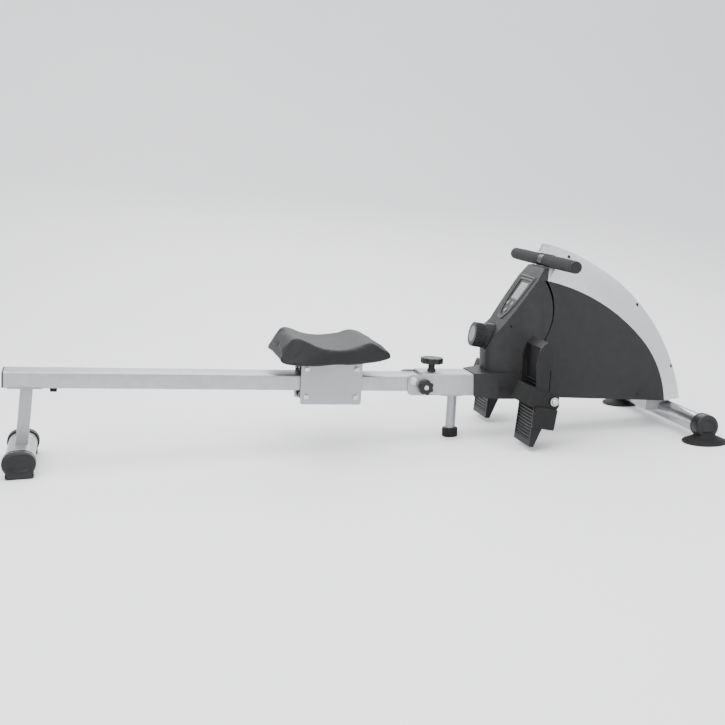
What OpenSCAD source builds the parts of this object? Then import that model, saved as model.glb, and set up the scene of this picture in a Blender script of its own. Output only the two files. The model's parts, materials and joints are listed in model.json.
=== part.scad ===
// Folding magnetic rowing machine.
// X runs along the machine with the housing at +X, Y across it, Z up from the floor.

/* [Overall] */
// Length from the rear stabiliser cap to the front foot
overall_l = 1832; // [1500:1:2200]
// Fall of the rail towards the housing, in degrees
slope = 3.9; // [2.5:0.1:5]
// Height of the fold pivot above the floor
pivot_z = 166; // [150:1:185]
// Distance along X from the fold pivot to the front stabiliser
pivot_to_front = 730; // [700:1:780]

/* [Rail] */
// Width of the rail tube
rail_w = 80; // [66:1:100]
// Height of the rail tube
rail_h = 40; // [34:1:48]
// Wall of the rail tube
rail_t = 2; // [1.5:0.1:3]
// Height of the rail top above the fold pivot
rail_top = 11; // [10:0.5:13]
// Rail length past the fold pivot, under the beam mouth
rail_nose = 21; // [16:0.5:22]
// Height of the tongue tube fixed in the rail end
tongue_h = 34; // [28:0.5:36]
// Reach of the tongue past the fold pivot
tongue_reach = 71; // [66:0.5:75]

/* [Front beam] */
// Height of the front beam
beam_h = 50; // [44:1:56]
// Wall of the front beam
beam_t = 3; // [2:0.1:4]
// Side gap between rail and beam walls
beam_gap = 1; // [0.5:0.1:2]
// Diameter of the mid leg
leg_d = 26; // [20:0.5:34]
// Distance of the mid leg from the fold pivot, along the beam
leg_s = 122; // [116:1:140]

/* [Rear stand] */
// Width of the rear stabiliser tube along X
rear_tube_w = 72; // [60:1:84]
// Height of the rear stabiliser tube
rear_tube_h = 50; // [40:1:60]
// Length of the rear stabiliser tube
rear_tube_l = 250; // [200:1:420]
// Thickness of the rear end caps around the tube
rear_cap_t = 5; // [3:0.5:8]
// Height of the rear stabiliser centre
rear_z = 36; // [32:1:46]
// Lean of the rear leg from upright, in degrees
rear_lean = 8.3; // [4:0.1:12]

/* [Front stabiliser] */
// Diameter of the front stabiliser tube
front_tube_d = 50; // [40:1:56]
// Length of the front stabiliser tube
front_tube_l = 520; // [440:1:640]
// Height of the front stabiliser axis
front_z = 41.5; // [38:0.5:48]
// Diameter of the flared rubber feet
foot_d = 116; // [80:1:130]

/* [Housing] */
// Width of the housing between its side panels
housing_w = 150; // [146:1:190]
// Width of the flat crest of the arch
crest_w = 66; // [50:1:80]
// Wall of the housing shells
shell_t = 3; // [2:0.1:3.5]

/* [Seat] */
// Width of the seat
seat_w = 306; // [260:1:360]
// Length of the seat
seat_l = 292; // [250:1:330]
// Distance of the seat carriage from the fold pivot at rest
seat_s = 220; // [200:1:600]
// Length of the carriage side plates
plate_l = 160; // [140:1:200]
// Diameter of the upper rollers
roller_d = 36; // [28:0.5:37]
// Diameter of the lower rollers
low_roller_d = 30; // [24:0.5:34]

/* [Handle] */
// Length of the handle
handle_l = 438; // [380:1:520]
// Diameter of the foam grips
grip_d = 32; // [26:0.5:34]
// Diameter of the steel handle bar
bar_d = 22; // [18:0.5:24]

/* [Footrests] */
// Width of one footrest
foot_w = 110; // [96:1:124]
// Distance between the footrest centres
foot_pitch = 343; // [320:1:380]
// Diameter of the footrest shaft
foot_shaft_d = 14; // [10:0.5:16]

/* [Drive] */
// Diameter of the flywheel
flywheel_d = 210; // [160:1:214]
// Width of the flywheel
flywheel_w = 24; // [16:0.5:30]
// Diameter of the strap spool core
spool_d = 80; // [50:1:84]
// Diameter of the drive pulley
pulley_d = 150; // [120:1:160]
// Diameter of the flywheel pulley
small_pulley_d = 36; // [30:0.5:44]

/* [Hidden] */
// Radial gap of a running fit
running = 0.05;
// Gap between parts that pass or face each other
air = 0.4;
$fn = 64;

rear_cap_w = rear_tube_w + 2 * rear_cap_t;
rear_x = -overall_l / 2 + rear_cap_w / 2;
front_x = overall_l / 2 - foot_d / 2;
pivot_x = front_x - pivot_to_front;
rail_bottom = rail_top - rail_h;
rail_in_w = rail_w - 2 * rail_t;
rail_start = (rear_x - 28 - pivot_x) / cos(slope);
beam_w = rail_w + 2 * (beam_gap + beam_t);
beam_bottom = rail_top - beam_h;
saddle_s = pivot_to_front / cos(slope);
beam_end = saddle_s + 2;
mouth = rail_nose + 3;
tongue_top = rail_top - beam_t - 0.5;
pivot_d = 12;
bush_d = 18;
lock_s = 60;
lock_d = 10;
knob_s = 31;
knob_h = -15;

// Housing outline, measured from the fold pivot position in X
panel_start = [pivot_x + 359, 418];
crest_start = [pivot_x + 384, 508.5];
panel_arcs = [[528, 35.4], [295, 36.8]];
crest_arcs = [[669, 11.1], [539, 51.6]];
cover_low_rear = [pivot_x + 222, 118];
cover_low_front = [pivot_x + 701, 76];
seam_c = [pivot_x + 229, 340];
seam_r = 146;
end_low = panel_start - [air, 0];
end_high = crest_start - [air, 0];

// Nose outline: two arcs up from the base, then the straight face that holds the console
base_top = 176;
face_angle = 52.5;
nose_front = arch([pivot_x + 207, base_top], 108, [[99, 18], [129, 90 - face_angle]], 8);
face_low = nose_front[len(nose_front) - 1];
face_dir = [cos(face_angle), sin(face_angle)];
nose_top = face_low + (450 - face_low[1]) / sin(face_angle) * face_dir;
nose_region = concat(nose_front, [nose_top, nose_top + [22, 0], [pivot_x + 391, 484],
    [pivot_x + 400, 484], [pivot_x + 400, base_top]]);
nose_depth = 183;
nose_side_x = pivot_x + 384;
blunt = 0.72;
console_l = 127;
console_w = 90;
console_pos = face_low + (41 + console_l / 2) * face_dir;

// Tension knob
knob_axis_up = 13;
knob_base = [pivot_x + 219, 266];
knob_d = 64;
knob_ring_d = 74;

// Handle and cradle
handle_pos = [pivot_x + 377, 466];
cradle_r = grip_d / 2 + 1.5;
cradle_t = 4;
cradle_w = 112;

strap_w = 30;
strap_t = 1.6;

// Fixings and small fittings
plug_t = 4;
rear_tube_t = 2;
leg_plate_t = 4;
leg_w = 30;
rear_leg_top_x = rear_x + (190 - rear_z) * tan(rear_lean);
rear_cap_l = 31;
front_cap_d = front_tube_d + 14;
front_cap_l = 40;
saddle_bolts = [saddle_s - 46, saddle_s - 12];
seam_a = -32;
seam_foot = [106, -165];
seam_shift = [1, 4];
side_screws = [[pivot_x + 624, 100]];
base_screws = [[pivot_x + 228, 137]];
nose_screws = [[pivot_x + 262, 300]];

// Drive train
spool_pos = [pivot_x + 350, 250];
flywheel_pos = [pivot_x + 512, 258];
guide_r = 10;
guide_pos = [handle_pos[0] + 36, handle_pos[1] - guide_r - strap_t / 2];
plate_y = beam_w / 2;
plate_t = 4;
axle_d = 12;
belt_y = 30;
belt_w = 10;
belt_t = 3;
spring_y = -34;
spring_w = 14;
brake_arm_r = flywheel_d / 2 + 3;
brake_pivot_a = 125;
brake_pivot_r = flywheel_d / 2 + 20;
brake_pivot = flywheel_pos + brake_pivot_r * [cos(brake_pivot_a), sin(brake_pivot_a)];
brake_pin_d = 8;
ear_y = strap_w / 2 + 9;

// Console fittings
display_x = 24;
display_l = 52;
display_w = 50;
button_d = 12;
button_spots = [[-18, 15], [-18, -15], [-40, 0]];
yoke_w = 34;

// Footrests
foot_s = 320;
foot_h = -16;
foot_x = pivot_x + foot_s * cos(slope) + foot_h * sin(slope);
foot_z = pivot_z - foot_s * sin(slope) + foot_h * cos(slope);
foot_wall = 5;
collar_d = foot_shaft_d + 10;
rest_pts = [
    [-66, -114], [-54, -28], [-48, 18], [-45, 105], [-34, 138], [-16, 153],
    [-6, 142], [-3, 112], [2, 52], [15, 14], [15, -14], [-2, -36], [-26, -60], [-54, -116]];
rest_floor_pts = [[-61, -100], [-48, -28], [-30, 18], [-27, 105], [-26, 136], [-80, 150], [-80, -90]];
rest_back_pts = [[-49, -108], [-40, -28], [-22, 18], [-19, 105], [-18, 134], [20, 150], [40, 0], [0, -110]];

// Carriage
plate_in = rail_w / 2 + 5;
carriage_t = 3;
axle_half = plate_l / 2 - 15;
up_axle_h = rail_top + roller_d / 2 + 0.3;
low_axle_h = rail_bottom - low_roller_d / 2 - 0.3;
base_h = up_axle_h + roller_d / 2 + 3;
base_t = 4;
wheel_w = 18;
wheel_y = 16;
roller_axle_d = 8;
seat_x = pivot_x - seat_s * cos(slope);
seat_bottom = pivot_z + seat_s * sin(slope) + (base_h + base_t) * cos(slope);

// Frame of the rail: X down the rail from the fold pivot, Z square to it.
module sloped() {
    translate([pivot_x, 0, pivot_z]) rotate([0, slope, 0]) children();
}

// Frame of the console face: X up the face, Z out of it.
module on_face() {
    translate([console_pos[0], 0, console_pos[1]]) rotate([0, -face_angle, 0]) children();
}

// Extrudes an outline drawn in X and Z across the machine, centred on Y.
module across(width) {
    rotate([90, 0, 0]) linear_extrude(height = width, center = true) children();
}

// Cylinder across the machine, centred on y, at a point in X and Z.
module cross_rod(at, d, length, y = 0) {
    translate([at[0], y, at[1]]) rotate([90, 0, 0]) cylinder(d = d, h = length, center = true);
}

module block(from, to) {
    translate(from) cube(to - from);
}

module slot_2d(w, h) {
    union() {
        square([w - h, h], center = true);
        for (side = [-1, 1]) translate([side * (w - h) / 2, 0]) circle(d = h);
    }
}

module hex_head(d, h) {
    cylinder(d = d, h = h, $fn = 6);
}

function unit(v) = v / norm(v);
function left_of(v) = [-v[1], v[0]];

// Moves every edge of a closed outline inwards by d (outline runs anticlockwise).
function shrink(pts, d) = [for (i = [0:len(pts) - 1])
    let(n = len(pts),
        a = left_of(unit(pts[i] - pts[(i + n - 1) % n])),
        b = left_of(unit(pts[(i + 1) % n] - pts[i])))
    pts[i] + d * (a + b) / (1 + a * b)];

// Points along arcs that bend downwards; each arc is [radius, sweep in degrees].
function arc_points(from, heading, arc, steps) = [for (i = [1:steps])
    let(turned = heading - arc[1] * i / steps)
    from + arc[0] * [sin(heading) - sin(turned), cos(turned) - cos(heading)]];

function arch(from, heading, arcs, steps) =
    let(first = arc_points(from, heading, arcs[0], steps))
    concat([from], first, arc_points(first[steps - 1], heading - arcs[0][1], arcs[1], steps));

function reversed(list) = [for (i = [len(list) - 1:-1:0]) list[i]];

panel_curve = arch(panel_start, -14.1, panel_arcs, 10);
crest_curve = arch(crest_start, -18.5, crest_arcs, 10);
panel_region = concat([cover_low_rear, cover_low_front], reversed(panel_curve));

// Outline of the nose seen from above: a blunt rounded tip that opens out to flat sides.
module nose_plan(inset) {
    reach = nose_depth - inset;
    half = housing_w / 2 - inset;
    tip = [for (t = [-90:7.5:90])
        [-reach * pow(cos(t), blunt), sign(t) * half * pow(abs(sin(t)), blunt)]];
    translate([nose_side_x, 0]) polygon(concat([[130, -half]], tip, [[130, half]]));
}

// Solid of the nose, drawn in by inset. Above the side panels its flanks lean in as the arch does.
module nose_body(inset) {
    tall = 600;
    half = housing_w / 2 - inset;
    top_half = crest_w / 2 - inset;
    intersection() {
        across(2 * housing_w) polygon(shrink(reversed(nose_region), inset));
        linear_extrude(height = tall) nose_plan(inset);
        rotate([90, 0, 90]) linear_extrude(height = overall_l) polygon([[-half, 0], [half, 0],
            [half, panel_start[1]], [top_half, crest_start[1]], [-top_half, crest_start[1]],
            [-half, panel_start[1]]]);
    }
}

// ---- Rail and rear stand ----

module rail() {
    color("silver") sloped() difference() {
        block([rail_start, -rail_w / 2, rail_bottom], [rail_nose, rail_w / 2, rail_top]);
        block([rail_start - 1, -rail_in_w / 2, rail_bottom + rail_t],
            [rail_nose + 1, rail_in_w / 2, rail_top - rail_t]);
        cross_rod([0, 0], bush_d, rail_w + 2);
    }
}

module rail_end_plug() {
    color("dimgray") sloped() union() {
        block([rail_start - plug_t, -rail_w / 2, rail_bottom], [rail_start, rail_w / 2, rail_top]);
        block([rail_start, -rail_in_w / 2, rail_bottom + rail_t],
            [rail_start + 18, rail_in_w / 2, rail_top - rail_t]);
    }
}

// Tongue tube fixed in the rail end, with the pivot bush through it.
module rail_tongue() {
    low = tongue_top - tongue_h;
    color("silver") sloped() difference() {
        union() {
            difference() {
                block([-60, -rail_in_w / 2, low], [tongue_reach, rail_in_w / 2, tongue_top]);
                block([-61, -rail_in_w / 2 + 3, low + 3],
                    [tongue_reach + 1, rail_in_w / 2 - 3, tongue_top - 3]);
                translate([lock_s, 0, tongue_top - 4]) cylinder(d = lock_d + 1.6, h = 5);
            }
            cross_rod([0, 0], bush_d, rail_w);
        }
        cross_rod([0, 0], pivot_d + 2 * running, rail_w + 2);
    }
}

module below_rail(h) {
    sloped() block([rail_start - 200, -200, h - 400], [0, 200, h]);
}

module rear_leg() {
    top = rail_bottom;
    foot_top = rear_z + rear_tube_h / 2;
    plate_mid = (rear_leg_top_x - pivot_x) / cos(slope);
    color("silver") difference() {
        union() {
            sloped() block([plate_mid - 42, -30, top - leg_plate_t], [plate_mid + 42, 30, top]);
            intersection() {
                below_rail(top - leg_plate_t);
                translate([rear_x, 0, rear_z]) rotate([0, rear_lean, 0]) difference() {
                    block([-leg_w / 2, -20, 0], [leg_w / 2, 20, 240]);
                    block([-leg_w / 2 + 2, -18, -1], [leg_w / 2 - 2, 18, 241]);
                }
            }
        }
        rear_tube_solid();
        for (side = [-1, 1]) sloped() translate([plate_mid + side * 32, 0, top - 10])
            cylinder(d = 8, h = 20);
    }
}

module rear_leg_bolts() {
    plate_mid = (rear_leg_top_x - pivot_x) / cos(slope);
    color("gainsboro") for (side = [-1, 1]) sloped()
        translate([plate_mid + side * 32, 0, rail_bottom - leg_plate_t]) union() {
            translate([0, 0, -5]) hex_head(13, 5);
            cylinder(d = 8, h = leg_plate_t);
        }
}

module rear_tube_solid(wall = 0) {
    translate([rear_x, 0, rear_z]) across(rear_tube_l + wall)
        slot_2d(rear_tube_w - 2 * wall, rear_tube_h - 2 * wall);
}

module rear_stabiliser() {
    color("silver") difference() {
        rear_tube_solid();
        rear_tube_solid(rear_tube_t);
    }
}

module rear_end_caps() {
    cap_h = rear_tube_h + 2 * rear_cap_t;
    cap_mid = rear_tube_l / 2 - 6;
    color("dimgray") for (side = [-1, 1]) difference() {
        union() {
            translate([rear_x, side * cap_mid, rear_z]) across(rear_cap_l)
                slot_2d(rear_cap_w, cap_h);
            translate([rear_x, side * cap_mid, 0])
                block([-31, -rear_cap_l / 2, 0], [31, rear_cap_l / 2, rear_z - cap_h / 2 + 9]);
        }
        rear_tube_solid();
    }
}

module rail_bumper() {
    s = (rear_x + 90 - pivot_x) / cos(slope);
    color("dimgray") sloped() translate([s, 0, rail_bottom]) across(24)
        polygon([[-10, 0], [-8, -14], [8, -14], [10, 0]]);
}

// ---- Front frame ----

module main_beam() {
    inner = beam_w - 2 * beam_t;
    side_top = rail_top - 3;
    color("silver") sloped() difference() {
        union() {
            block([mouth, -beam_w / 2, beam_bottom], [beam_end, beam_w / 2, rail_top]);
            intersection() {
                block([-15, -beam_w / 2, beam_bottom + 5], [mouth, beam_w / 2, side_top]);
                union() {
                    block([0, -beam_w, beam_bottom], [mouth, beam_w, rail_top]);
                    cross_rod([6, (side_top + beam_bottom + 5) / 2], beam_h - 6, beam_w + 2);
                }
            }
            translate([lock_s, 0, rail_top]) cylinder(d = 26, h = 8);
        }
        block([-40, -inner / 2, beam_bottom + beam_t], [beam_end + 1, inner / 2, rail_top - beam_t]);
        block([-40, -inner / 2, beam_bottom - 1], [leg_s - 40, inner / 2, beam_bottom + 10]);
        block([-40, -inner / 2, rail_top - 10], [mouth, inner / 2, rail_top + 1]);
        cross_rod([0, 0], pivot_d + 2 * running, beam_w + 2);
        translate([lock_s, 0, rail_top - 10]) cylinder(d = lock_d + 2 * running, h = 30);
        cross_rod([knob_s, knob_h], 8 + 2 * running, beam_w, -beam_w / 2);
        cross_rod([foot_s, foot_h], foot_shaft_d, beam_w + 2);
        cross_rod([5, -21], 9, beam_w, -beam_w / 2);
        for (at = saddle_bolts) translate([at, 0, beam_bottom - 1]) cylinder(d = 10, h = beam_t + 2);
    }
}

module fold_pivot_bolt() {
    color("gainsboro") sloped() union() {
        cross_rod([0, 0], pivot_d, beam_w);
        cross_rod([0, 0], 22, 5, -beam_w / 2 - 2.5);
        cross_rod([0, 0], 22, 5, beam_w / 2 + 2.5);
    }
}

// Pull knob with the pin that drops into the tongue.
module lock_knob() {
    color("dimgray") sloped() translate([lock_s, 0, 0]) union() {
        translate([0, 0, rail_top - beam_t - 2.5]) cylinder(d = lock_d, h = beam_t + 11);
        translate([0, 0, rail_top + 8 + air]) cylinder(d1 = 24, d2 = 18, h = 8);
        translate([0, 0, rail_top + 16 + air]) cylinder(d = 18, h = 14);
        translate([0, 0, rail_top + 29 + air]) lobed_disc(60, 15, 8);
    }
}

// Round hand knob with shallow finger hollows.
module lobed_disc(d, h, lobes) {
    difference() {
        cylinder(d = d, h = h);
        for (i = [0:lobes - 1]) rotate(i * 360 / lobes)
            translate([d / 2 + 5, 0, -1]) cylinder(d = 16, h = h + 2);
    }
}

module side_knob() {
    color("dimgray") sloped() translate([knob_s, -beam_w / 2, knob_h]) rotate([90, 0, 0]) union() {
        translate([0, 0, -beam_t]) cylinder(d = 8, h = beam_t + air + 2);
        translate([0, 0, air]) cylinder(d = 18, h = 6);
        translate([0, 0, 6]) lobed_disc(40, 14, 7);
    }
}

module mid_leg() {
    color("silver") intersection() {
        sloped() union() {
            block([leg_s - 40, -30, beam_bottom - leg_plate_t], [leg_s + 18, 30, beam_bottom]);
            translate([leg_s, 0, beam_bottom - leg_plate_t - 200]) difference() {
                cylinder(d = leg_d, h = 200);
                translate([0, 0, -1]) cylinder(d = leg_d - 4, h = 202);
            }
        }
        block([-overall_l, -100, 6], [overall_l, 100, 400]);
    }
}

module mid_leg_foot() {
    top_x = pivot_x + leg_s * cos(slope) + beam_bottom * sin(slope);
    drop = pivot_z - leg_s * sin(slope) + beam_bottom * cos(slope);
    color("dimgray") difference() {
        translate([top_x - (drop - 12) * tan(slope), 0, 0]) cylinder(d = leg_d + 16, h = 24);
        intersection() {
            sloped() translate([leg_s, 0, beam_bottom - 200]) cylinder(d = leg_d, h = 200);
            block([-overall_l, -100, 6], [overall_l, 100, 400]);
        }
    }
}

module stabiliser_saddle() {
    color("silver") difference() {
        intersection() {
            sloped() block([saddle_s - 56, -32, beam_bottom - 60], [saddle_s + 12, 32, beam_bottom]);
            block([0, -40, front_z], [overall_l, 40, 300]);
        }
        cross_rod([front_x, front_z], front_tube_d, 100);
        for (at = saddle_bolts) sloped() translate([at, 0, beam_bottom - 30]) cylinder(d = 10, h = 40);
    }
}

module front_stabiliser() {
    color("lightgray") difference() {
        cross_rod([front_x, front_z], front_tube_d, front_tube_l);
        cross_rod([front_x, front_z], front_tube_d - 4, front_tube_l + 2);
    }
}

module front_end_caps() {
    color("dimgray") for (side = [-1, 1]) difference() {
        cross_rod([front_x, front_z], front_cap_d, front_cap_l, side * (front_tube_l / 2 - 13));
        cross_rod([front_x, front_z], front_tube_d, front_tube_l);
    }
}

module front_feet() {
    r = foot_d / 2;
    color("dimgray") for (side = [-1, 1]) difference() {
        translate([front_x, side * (front_tube_l / 2 - 10), 0]) rotate_extrude()
            polygon([[0, 0], [r, 0], [r, 3], [r * 0.78, 10], [r * 0.5, 16], [r * 0.36, 24], [0, 24]]);
        cross_rod([front_x, front_z], front_cap_d, front_tube_l + 200);
    }
}

// ---- Housing ----

// Region in front of the seam between nose and side panels; shift moves its edge up and forwards.
module seam_disc(extra, shift = [0, 0]) {
    translate(shift) union() {
        translate(seam_c) circle(r = seam_r + extra, $fn = 96);
        polygon([seam_c + [-400, -400], seam_c + [seam_foot[0] + extra, -400],
            seam_c + [seam_foot[0] + extra, seam_foot[1]],
            seam_c + (seam_r + extra) * [cos(seam_a), sin(seam_a)], seam_c + [-400, 0]]);
    }
}

module side_cover(side) {
    y = side * (housing_w / 2 - shell_t / 2);
    difference() {
        translate([0, y, 0]) across(shell_t) difference() {
            polygon(panel_region);
            seam_disc(2, seam_shift);
        }
        cross_rod([foot_x, foot_z], collar_d + 2, 400);
        for (at = side_screws) cross_rod(at, 5, 400);
    }
}

module right_side_cover() {
    color([0.27, 0.27, 0.28]) side_cover(-1);
}

module left_side_cover() {
    color([0.27, 0.27, 0.28]) side_cover(1);
}

// Cross-section of the arch at step i: flanks slant from the side panels up to a flat crest.
function arch_ring(i) =
    let(last = len(crest_curve) - 1,
        low = panel_curve[i],
        top = crest_curve[i],
        along = unit(crest_curve[min(i + 1, last)] - crest_curve[max(i - 1, 0)]),
        under = top - shell_t * left_of(along),
        wide = housing_w / 2,
        half = crest_w / 2)
    [[low[0], -wide, low[1]], [top[0], -half, top[1]], [top[0], half, top[1]], [low[0], wide, low[1]],
        [low[0], wide - 1.4 * shell_t, low[1]], [under[0], half - 1, under[1]],
        [under[0], 1 - half, under[1]], [low[0], 1.4 * shell_t - wide, low[1]]];

// Silver arch over the flywheel: flat crest and slanted flanks.
module arch_shroud() {
    count = len(crest_curve);
    points = [for (i = [0:count - 1]) each arch_ring(i)];
    sides = [for (i = [0:count - 2]) for (j = [0:7]) let(k = (j + 1) % 8)
        each [[8 * i + j, 8 * i + k, 8 * i + 8 + k], [8 * i + j, 8 * i + 8 + k, 8 * i + 8 + j]]];
    start = [[0, 7, 1], [7, 6, 1], [1, 6, 2], [6, 5, 2], [2, 5, 3], [5, 4, 3]];
    end = [for (f = start) [for (n = [2:-1:0]) f[n] + 8 * (count - 1)]];
    color("gainsboro") difference() {
        polyhedron(points = points, faces = concat(start, sides, end), convexity = 4);
        handle_trough();
        sloped() block([0, -beam_w / 2 - air, beam_bottom - air], [beam_end + air, beam_w / 2 + air, rail_top + air]);
    }
}

// Room for the handle across the housing, deeper in the middle for the cradle.
module handle_trough() {
    cross_rod(handle_pos, 2 * cradle_r, 2 * housing_w);
    cross_rod(handle_pos, 2 * (cradle_r + cradle_t), cradle_w);
}

module nose_cover() {
    color([0.3, 0.3, 0.31]) difference() {
        intersection() {
            nose_body(0);
            across(400) union() {
                seam_disc(-1);
                block_2d(panel_start + [-160, air], panel_start + [100, 100]);
            }
        }
        difference() {
            nose_body(shell_t);
            cross_rod(handle_pos, 2 * (cradle_r + cradle_t) + 5, cradle_w + 6);
        }
        block([pivot_x + 262, -plate_y - plate_t - 8, base_top - 1],
            [nose_side_x, plate_y + plate_t + 8, base_top + shell_t + 1]);
        across(400) polygon([end_low, end_low + [100, 0], end_high + [60, 0], end_high]);
        handle_trough();
        on_face() translate([0, 0, -10]) linear_extrude(height = 30) console_outline(0);
        knob_frame() cylinder(d = knob_ring_d, h = 60, center = true);
        for (at = nose_screws) cross_rod(at, 5, 400);
    }
}

// Collar over the beam that the nose stands on.
module base_cover() {
    difference() {
        union() {
            color([0.28, 0.28, 0.29]) difference() {
                linear_extrude(height = base_top) difference() {
                    base_plan(0);
                    base_plan(shell_t);
                }
                sloped() block([-200, -300, -400], [800, 300, beam_bottom - 2]);
            }
            difference() {
                translate([0, 0, base_top - shell_t]) linear_extrude(height = shell_t) base_plan(0);
                translate([0, 0, base_top - shell_t - 1]) linear_extrude(height = shell_t + 2)
                    nose_plan(shell_t + 8);
            }
        }
        sloped() block([0, -beam_w / 2 - air, beam_bottom - 100], [beam_end, beam_w / 2 + air, rail_top + air]);
        cross_rod([foot_x, foot_z], collar_d + 2, 400);
        across(400) difference() {
            block_2d([pivot_x + 100, 0], [pivot_x + 900, base_top + 1]);
            seam_disc(-1);
        }
        for (at = base_screws) cross_rod(at, 5, 400);
    }
}

module block_2d(from, to) {
    translate(from) square(to - from);
}

module base_plan(inset) {
    reach = nose_depth + 36 - inset;
    half = housing_w / 2 - inset;
    tip = beam_w / 2 + 4;
    middle = (tip + half) / 2;
    translate([nose_side_x, 0]) polygon([[-reach, -tip], [-reach + 28, -middle], [-reach + 56, -half],
        [130, -half], [130, half], [-reach + 56, half], [-reach + 28, middle], [-reach, tip]]);
}

module screw(at, y, side) {
    translate([at[0], y, at[1]]) rotate([side * 90, 0, 0]) union() {
        cylinder(d = 8, h = 2);
        translate([0, 0, -shell_t]) cylinder(d = 5, h = shell_t);
    }
}

module housing_screws() {
    color([0.15, 0.15, 0.16]) for (side = [-1, 1]) {
        for (at = side_screws) screw(at, side * housing_w / 2, -side);
        for (at = base_screws) screw(at, side * housing_w / 2, -side);
    }
}

// ---- Console and tension knob ----

// Console outline: straight top edge, sides that draw in to a round foot.
module console_outline(inset) {
    half = console_w / 2 - inset;
    long = console_l - 2 * inset;
    side = [for (t = [0:10:90]) [long / 2 - long * pow(sin(t), 0.95), half * pow(cos(t), 0.8)]];
    polygon(concat(side, [for (i = [len(side) - 2:-1:0]) [side[i][0], -side[i][1]]]));
}

module button_places() {
    for (at = button_spots) translate([at[0], at[1], 0]) children();
}

module console_bezel() {
    color([0.16, 0.16, 0.17]) on_face() difference() {
        translate([0, 0, -7]) linear_extrude(height = 9) console_outline(air);
        translate([0, 0, -1]) linear_extrude(height = 4) console_outline(7);
        translate([display_x, 0, -4]) cube([display_l, display_w, 8], center = true);
        button_places() translate([0, 0, -5]) cylinder(d = button_d + 2 * air, h = 8);
    }
}

module console_display() {
    color([0.72, 0.75, 0.72]) on_face() translate([display_x, 0, -3.2])
        cube([display_l, display_w, 3], center = true);
}

module button(index) {
    at = button_spots[index];
    color([0.6, 0.6, 0.61]) on_face() translate([at[0], at[1], -2.6]) union() {
        cylinder(d = button_d, h = 3.4);
        translate([0, 0, 3.4]) intersection() {
            cylinder(d = button_d, h = 1);
            translate([0, 0, 1 - 2 * button_d]) sphere(r = 2 * button_d);
        }
    }
}

module button_left() {
    button(0);
}

module button_right() {
    button(1);
}

module button_lower() {
    button(2);
}

// Frame of the tension knob: Z out of the nose along the knob's axis.
module knob_frame() {
    translate([knob_base[0], 0, knob_base[1]]) rotate([0, knob_axis_up - 90, 0]) children();
}

// Fixed stepped ring behind the knob.
module tension_dial() {
    color([0.18, 0.18, 0.19]) knob_frame() difference() {
        union() {
            translate([0, 0, -12]) cylinder(d = knob_ring_d - 2 * air, h = 22);
            translate([0, 0, 10]) cylinder(d = knob_ring_d - 6, h = 5);
        }
        translate([0, 0, -13]) cylinder(d = 10 + 2 * running, h = 40);
        translate([0, 0, -13]) cylinder(d = knob_ring_d - 12, h = 20);
    }
}

module tension_knob() {
    color([0.2, 0.2, 0.21]) knob_frame() union() {
        translate([0, 0, -6]) cylinder(d = 10, h = 22);
        translate([0, 0, 15 + air]) difference() {
            cylinder(d = knob_d, h = 30);
            for (i = [0:23]) rotate(i * 15) translate([knob_d / 2 + 1.2, 0, 6]) cylinder(d = 5, h = 26);
            translate([0, 0, 28]) cylinder(d = 42, h = 4);
        }
        translate([0, 0, 15 + air + 27]) cylinder(d = 40, h = 2.4);
    }
}

// ---- Handle and strap ----

// Black liner that the handle rests in, open to the rear.
module handle_cradle() {
    outer = 2 * (cradle_r + cradle_t);
    color([0.12, 0.12, 0.13]) difference() {
        intersection() {
            cross_rod(handle_pos, outer, cradle_w - 2 * air);
            across(400) polygon([handle_pos + [-4, -60], handle_pos + [60, -60],
                handle_pos + [60, 60], handle_pos + [4, 60], handle_pos, handle_pos + [-4, -10]]);
        }
        cross_rod(handle_pos, 2 * cradle_r, cradle_w + 2);
        translate([handle_pos[0] + 20, 0, handle_pos[1]]) cube([40, strap_w + 6, 10], center = true);
    }
}

module handle_bar() {
    color("silver") difference() {
        cross_rod(handle_pos, bar_d, handle_l - 10);
        cross_rod(handle_pos, bar_d - 4, handle_l);
    }
}

module handle_grips() {
    grip_l = handle_l / 2 - yoke_w / 2 - 8;
    color([0.3, 0.3, 0.3]) for (side = [-1, 1]) difference() {
        cross_rod(handle_pos, grip_d, grip_l, side * (yoke_w / 2 + grip_l / 2 + 3));
        cross_rod(handle_pos, bar_d, handle_l + 10);
    }
}

module handle_end_caps() {
    color([0.2, 0.2, 0.2]) for (side = [-1, 1]) difference() {
        cross_rod(handle_pos, grip_d, 5, side * (handle_l / 2 - 2.5));
        cross_rod(handle_pos, bar_d, handle_l - 10);
    }
}

// Clamp in the middle of the bar that the strap is fixed to.
module handle_yoke() {
    color([0.25, 0.25, 0.25]) difference() {
        union() {
            cross_rod(handle_pos, bar_d + 8, yoke_w);
            for (side = [-1, 1]) cross_rod(handle_pos, grip_d + 0.6, 3, side * (yoke_w / 2 + 1.5));
        }
        cross_rod(handle_pos, bar_d, handle_l);
    }
}

// Strap from the spool over the guide roller to the yoke.
module pull_strap() {
    start = spool_pos + [spool_d / 2 + air, 0];
    top = handle_pos[1] + strap_t / 2 + air;
    right = guide_pos[0] + guide_r + air;
    r = guide_r + air;
    color([0.1, 0.1, 0.1]) union() {
        across(strap_w) polygon([start, start + [strap_t, 0], [right + strap_t, guide_pos[1]],
            [right, guide_pos[1]]]);
        translate([guide_pos[0], 0, guide_pos[1]]) rotate([90, 0, 0]) translate([0, 0, -strap_w / 2])
            intersection() {
                difference() {
                    cylinder(r = r + strap_t, h = strap_w);
                    translate([0, 0, -1]) cylinder(r = r, h = strap_w + 2);
                }
                cube([40, 40, strap_w]);
            }
        block([handle_pos[0] + bar_d / 2 + 4 + air, -strap_w / 2, guide_pos[1] + r],
            [guide_pos[0], strap_w / 2, guide_pos[1] + r + strap_t]);
    }
}

// ---- Drive inside the housing ----

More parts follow.
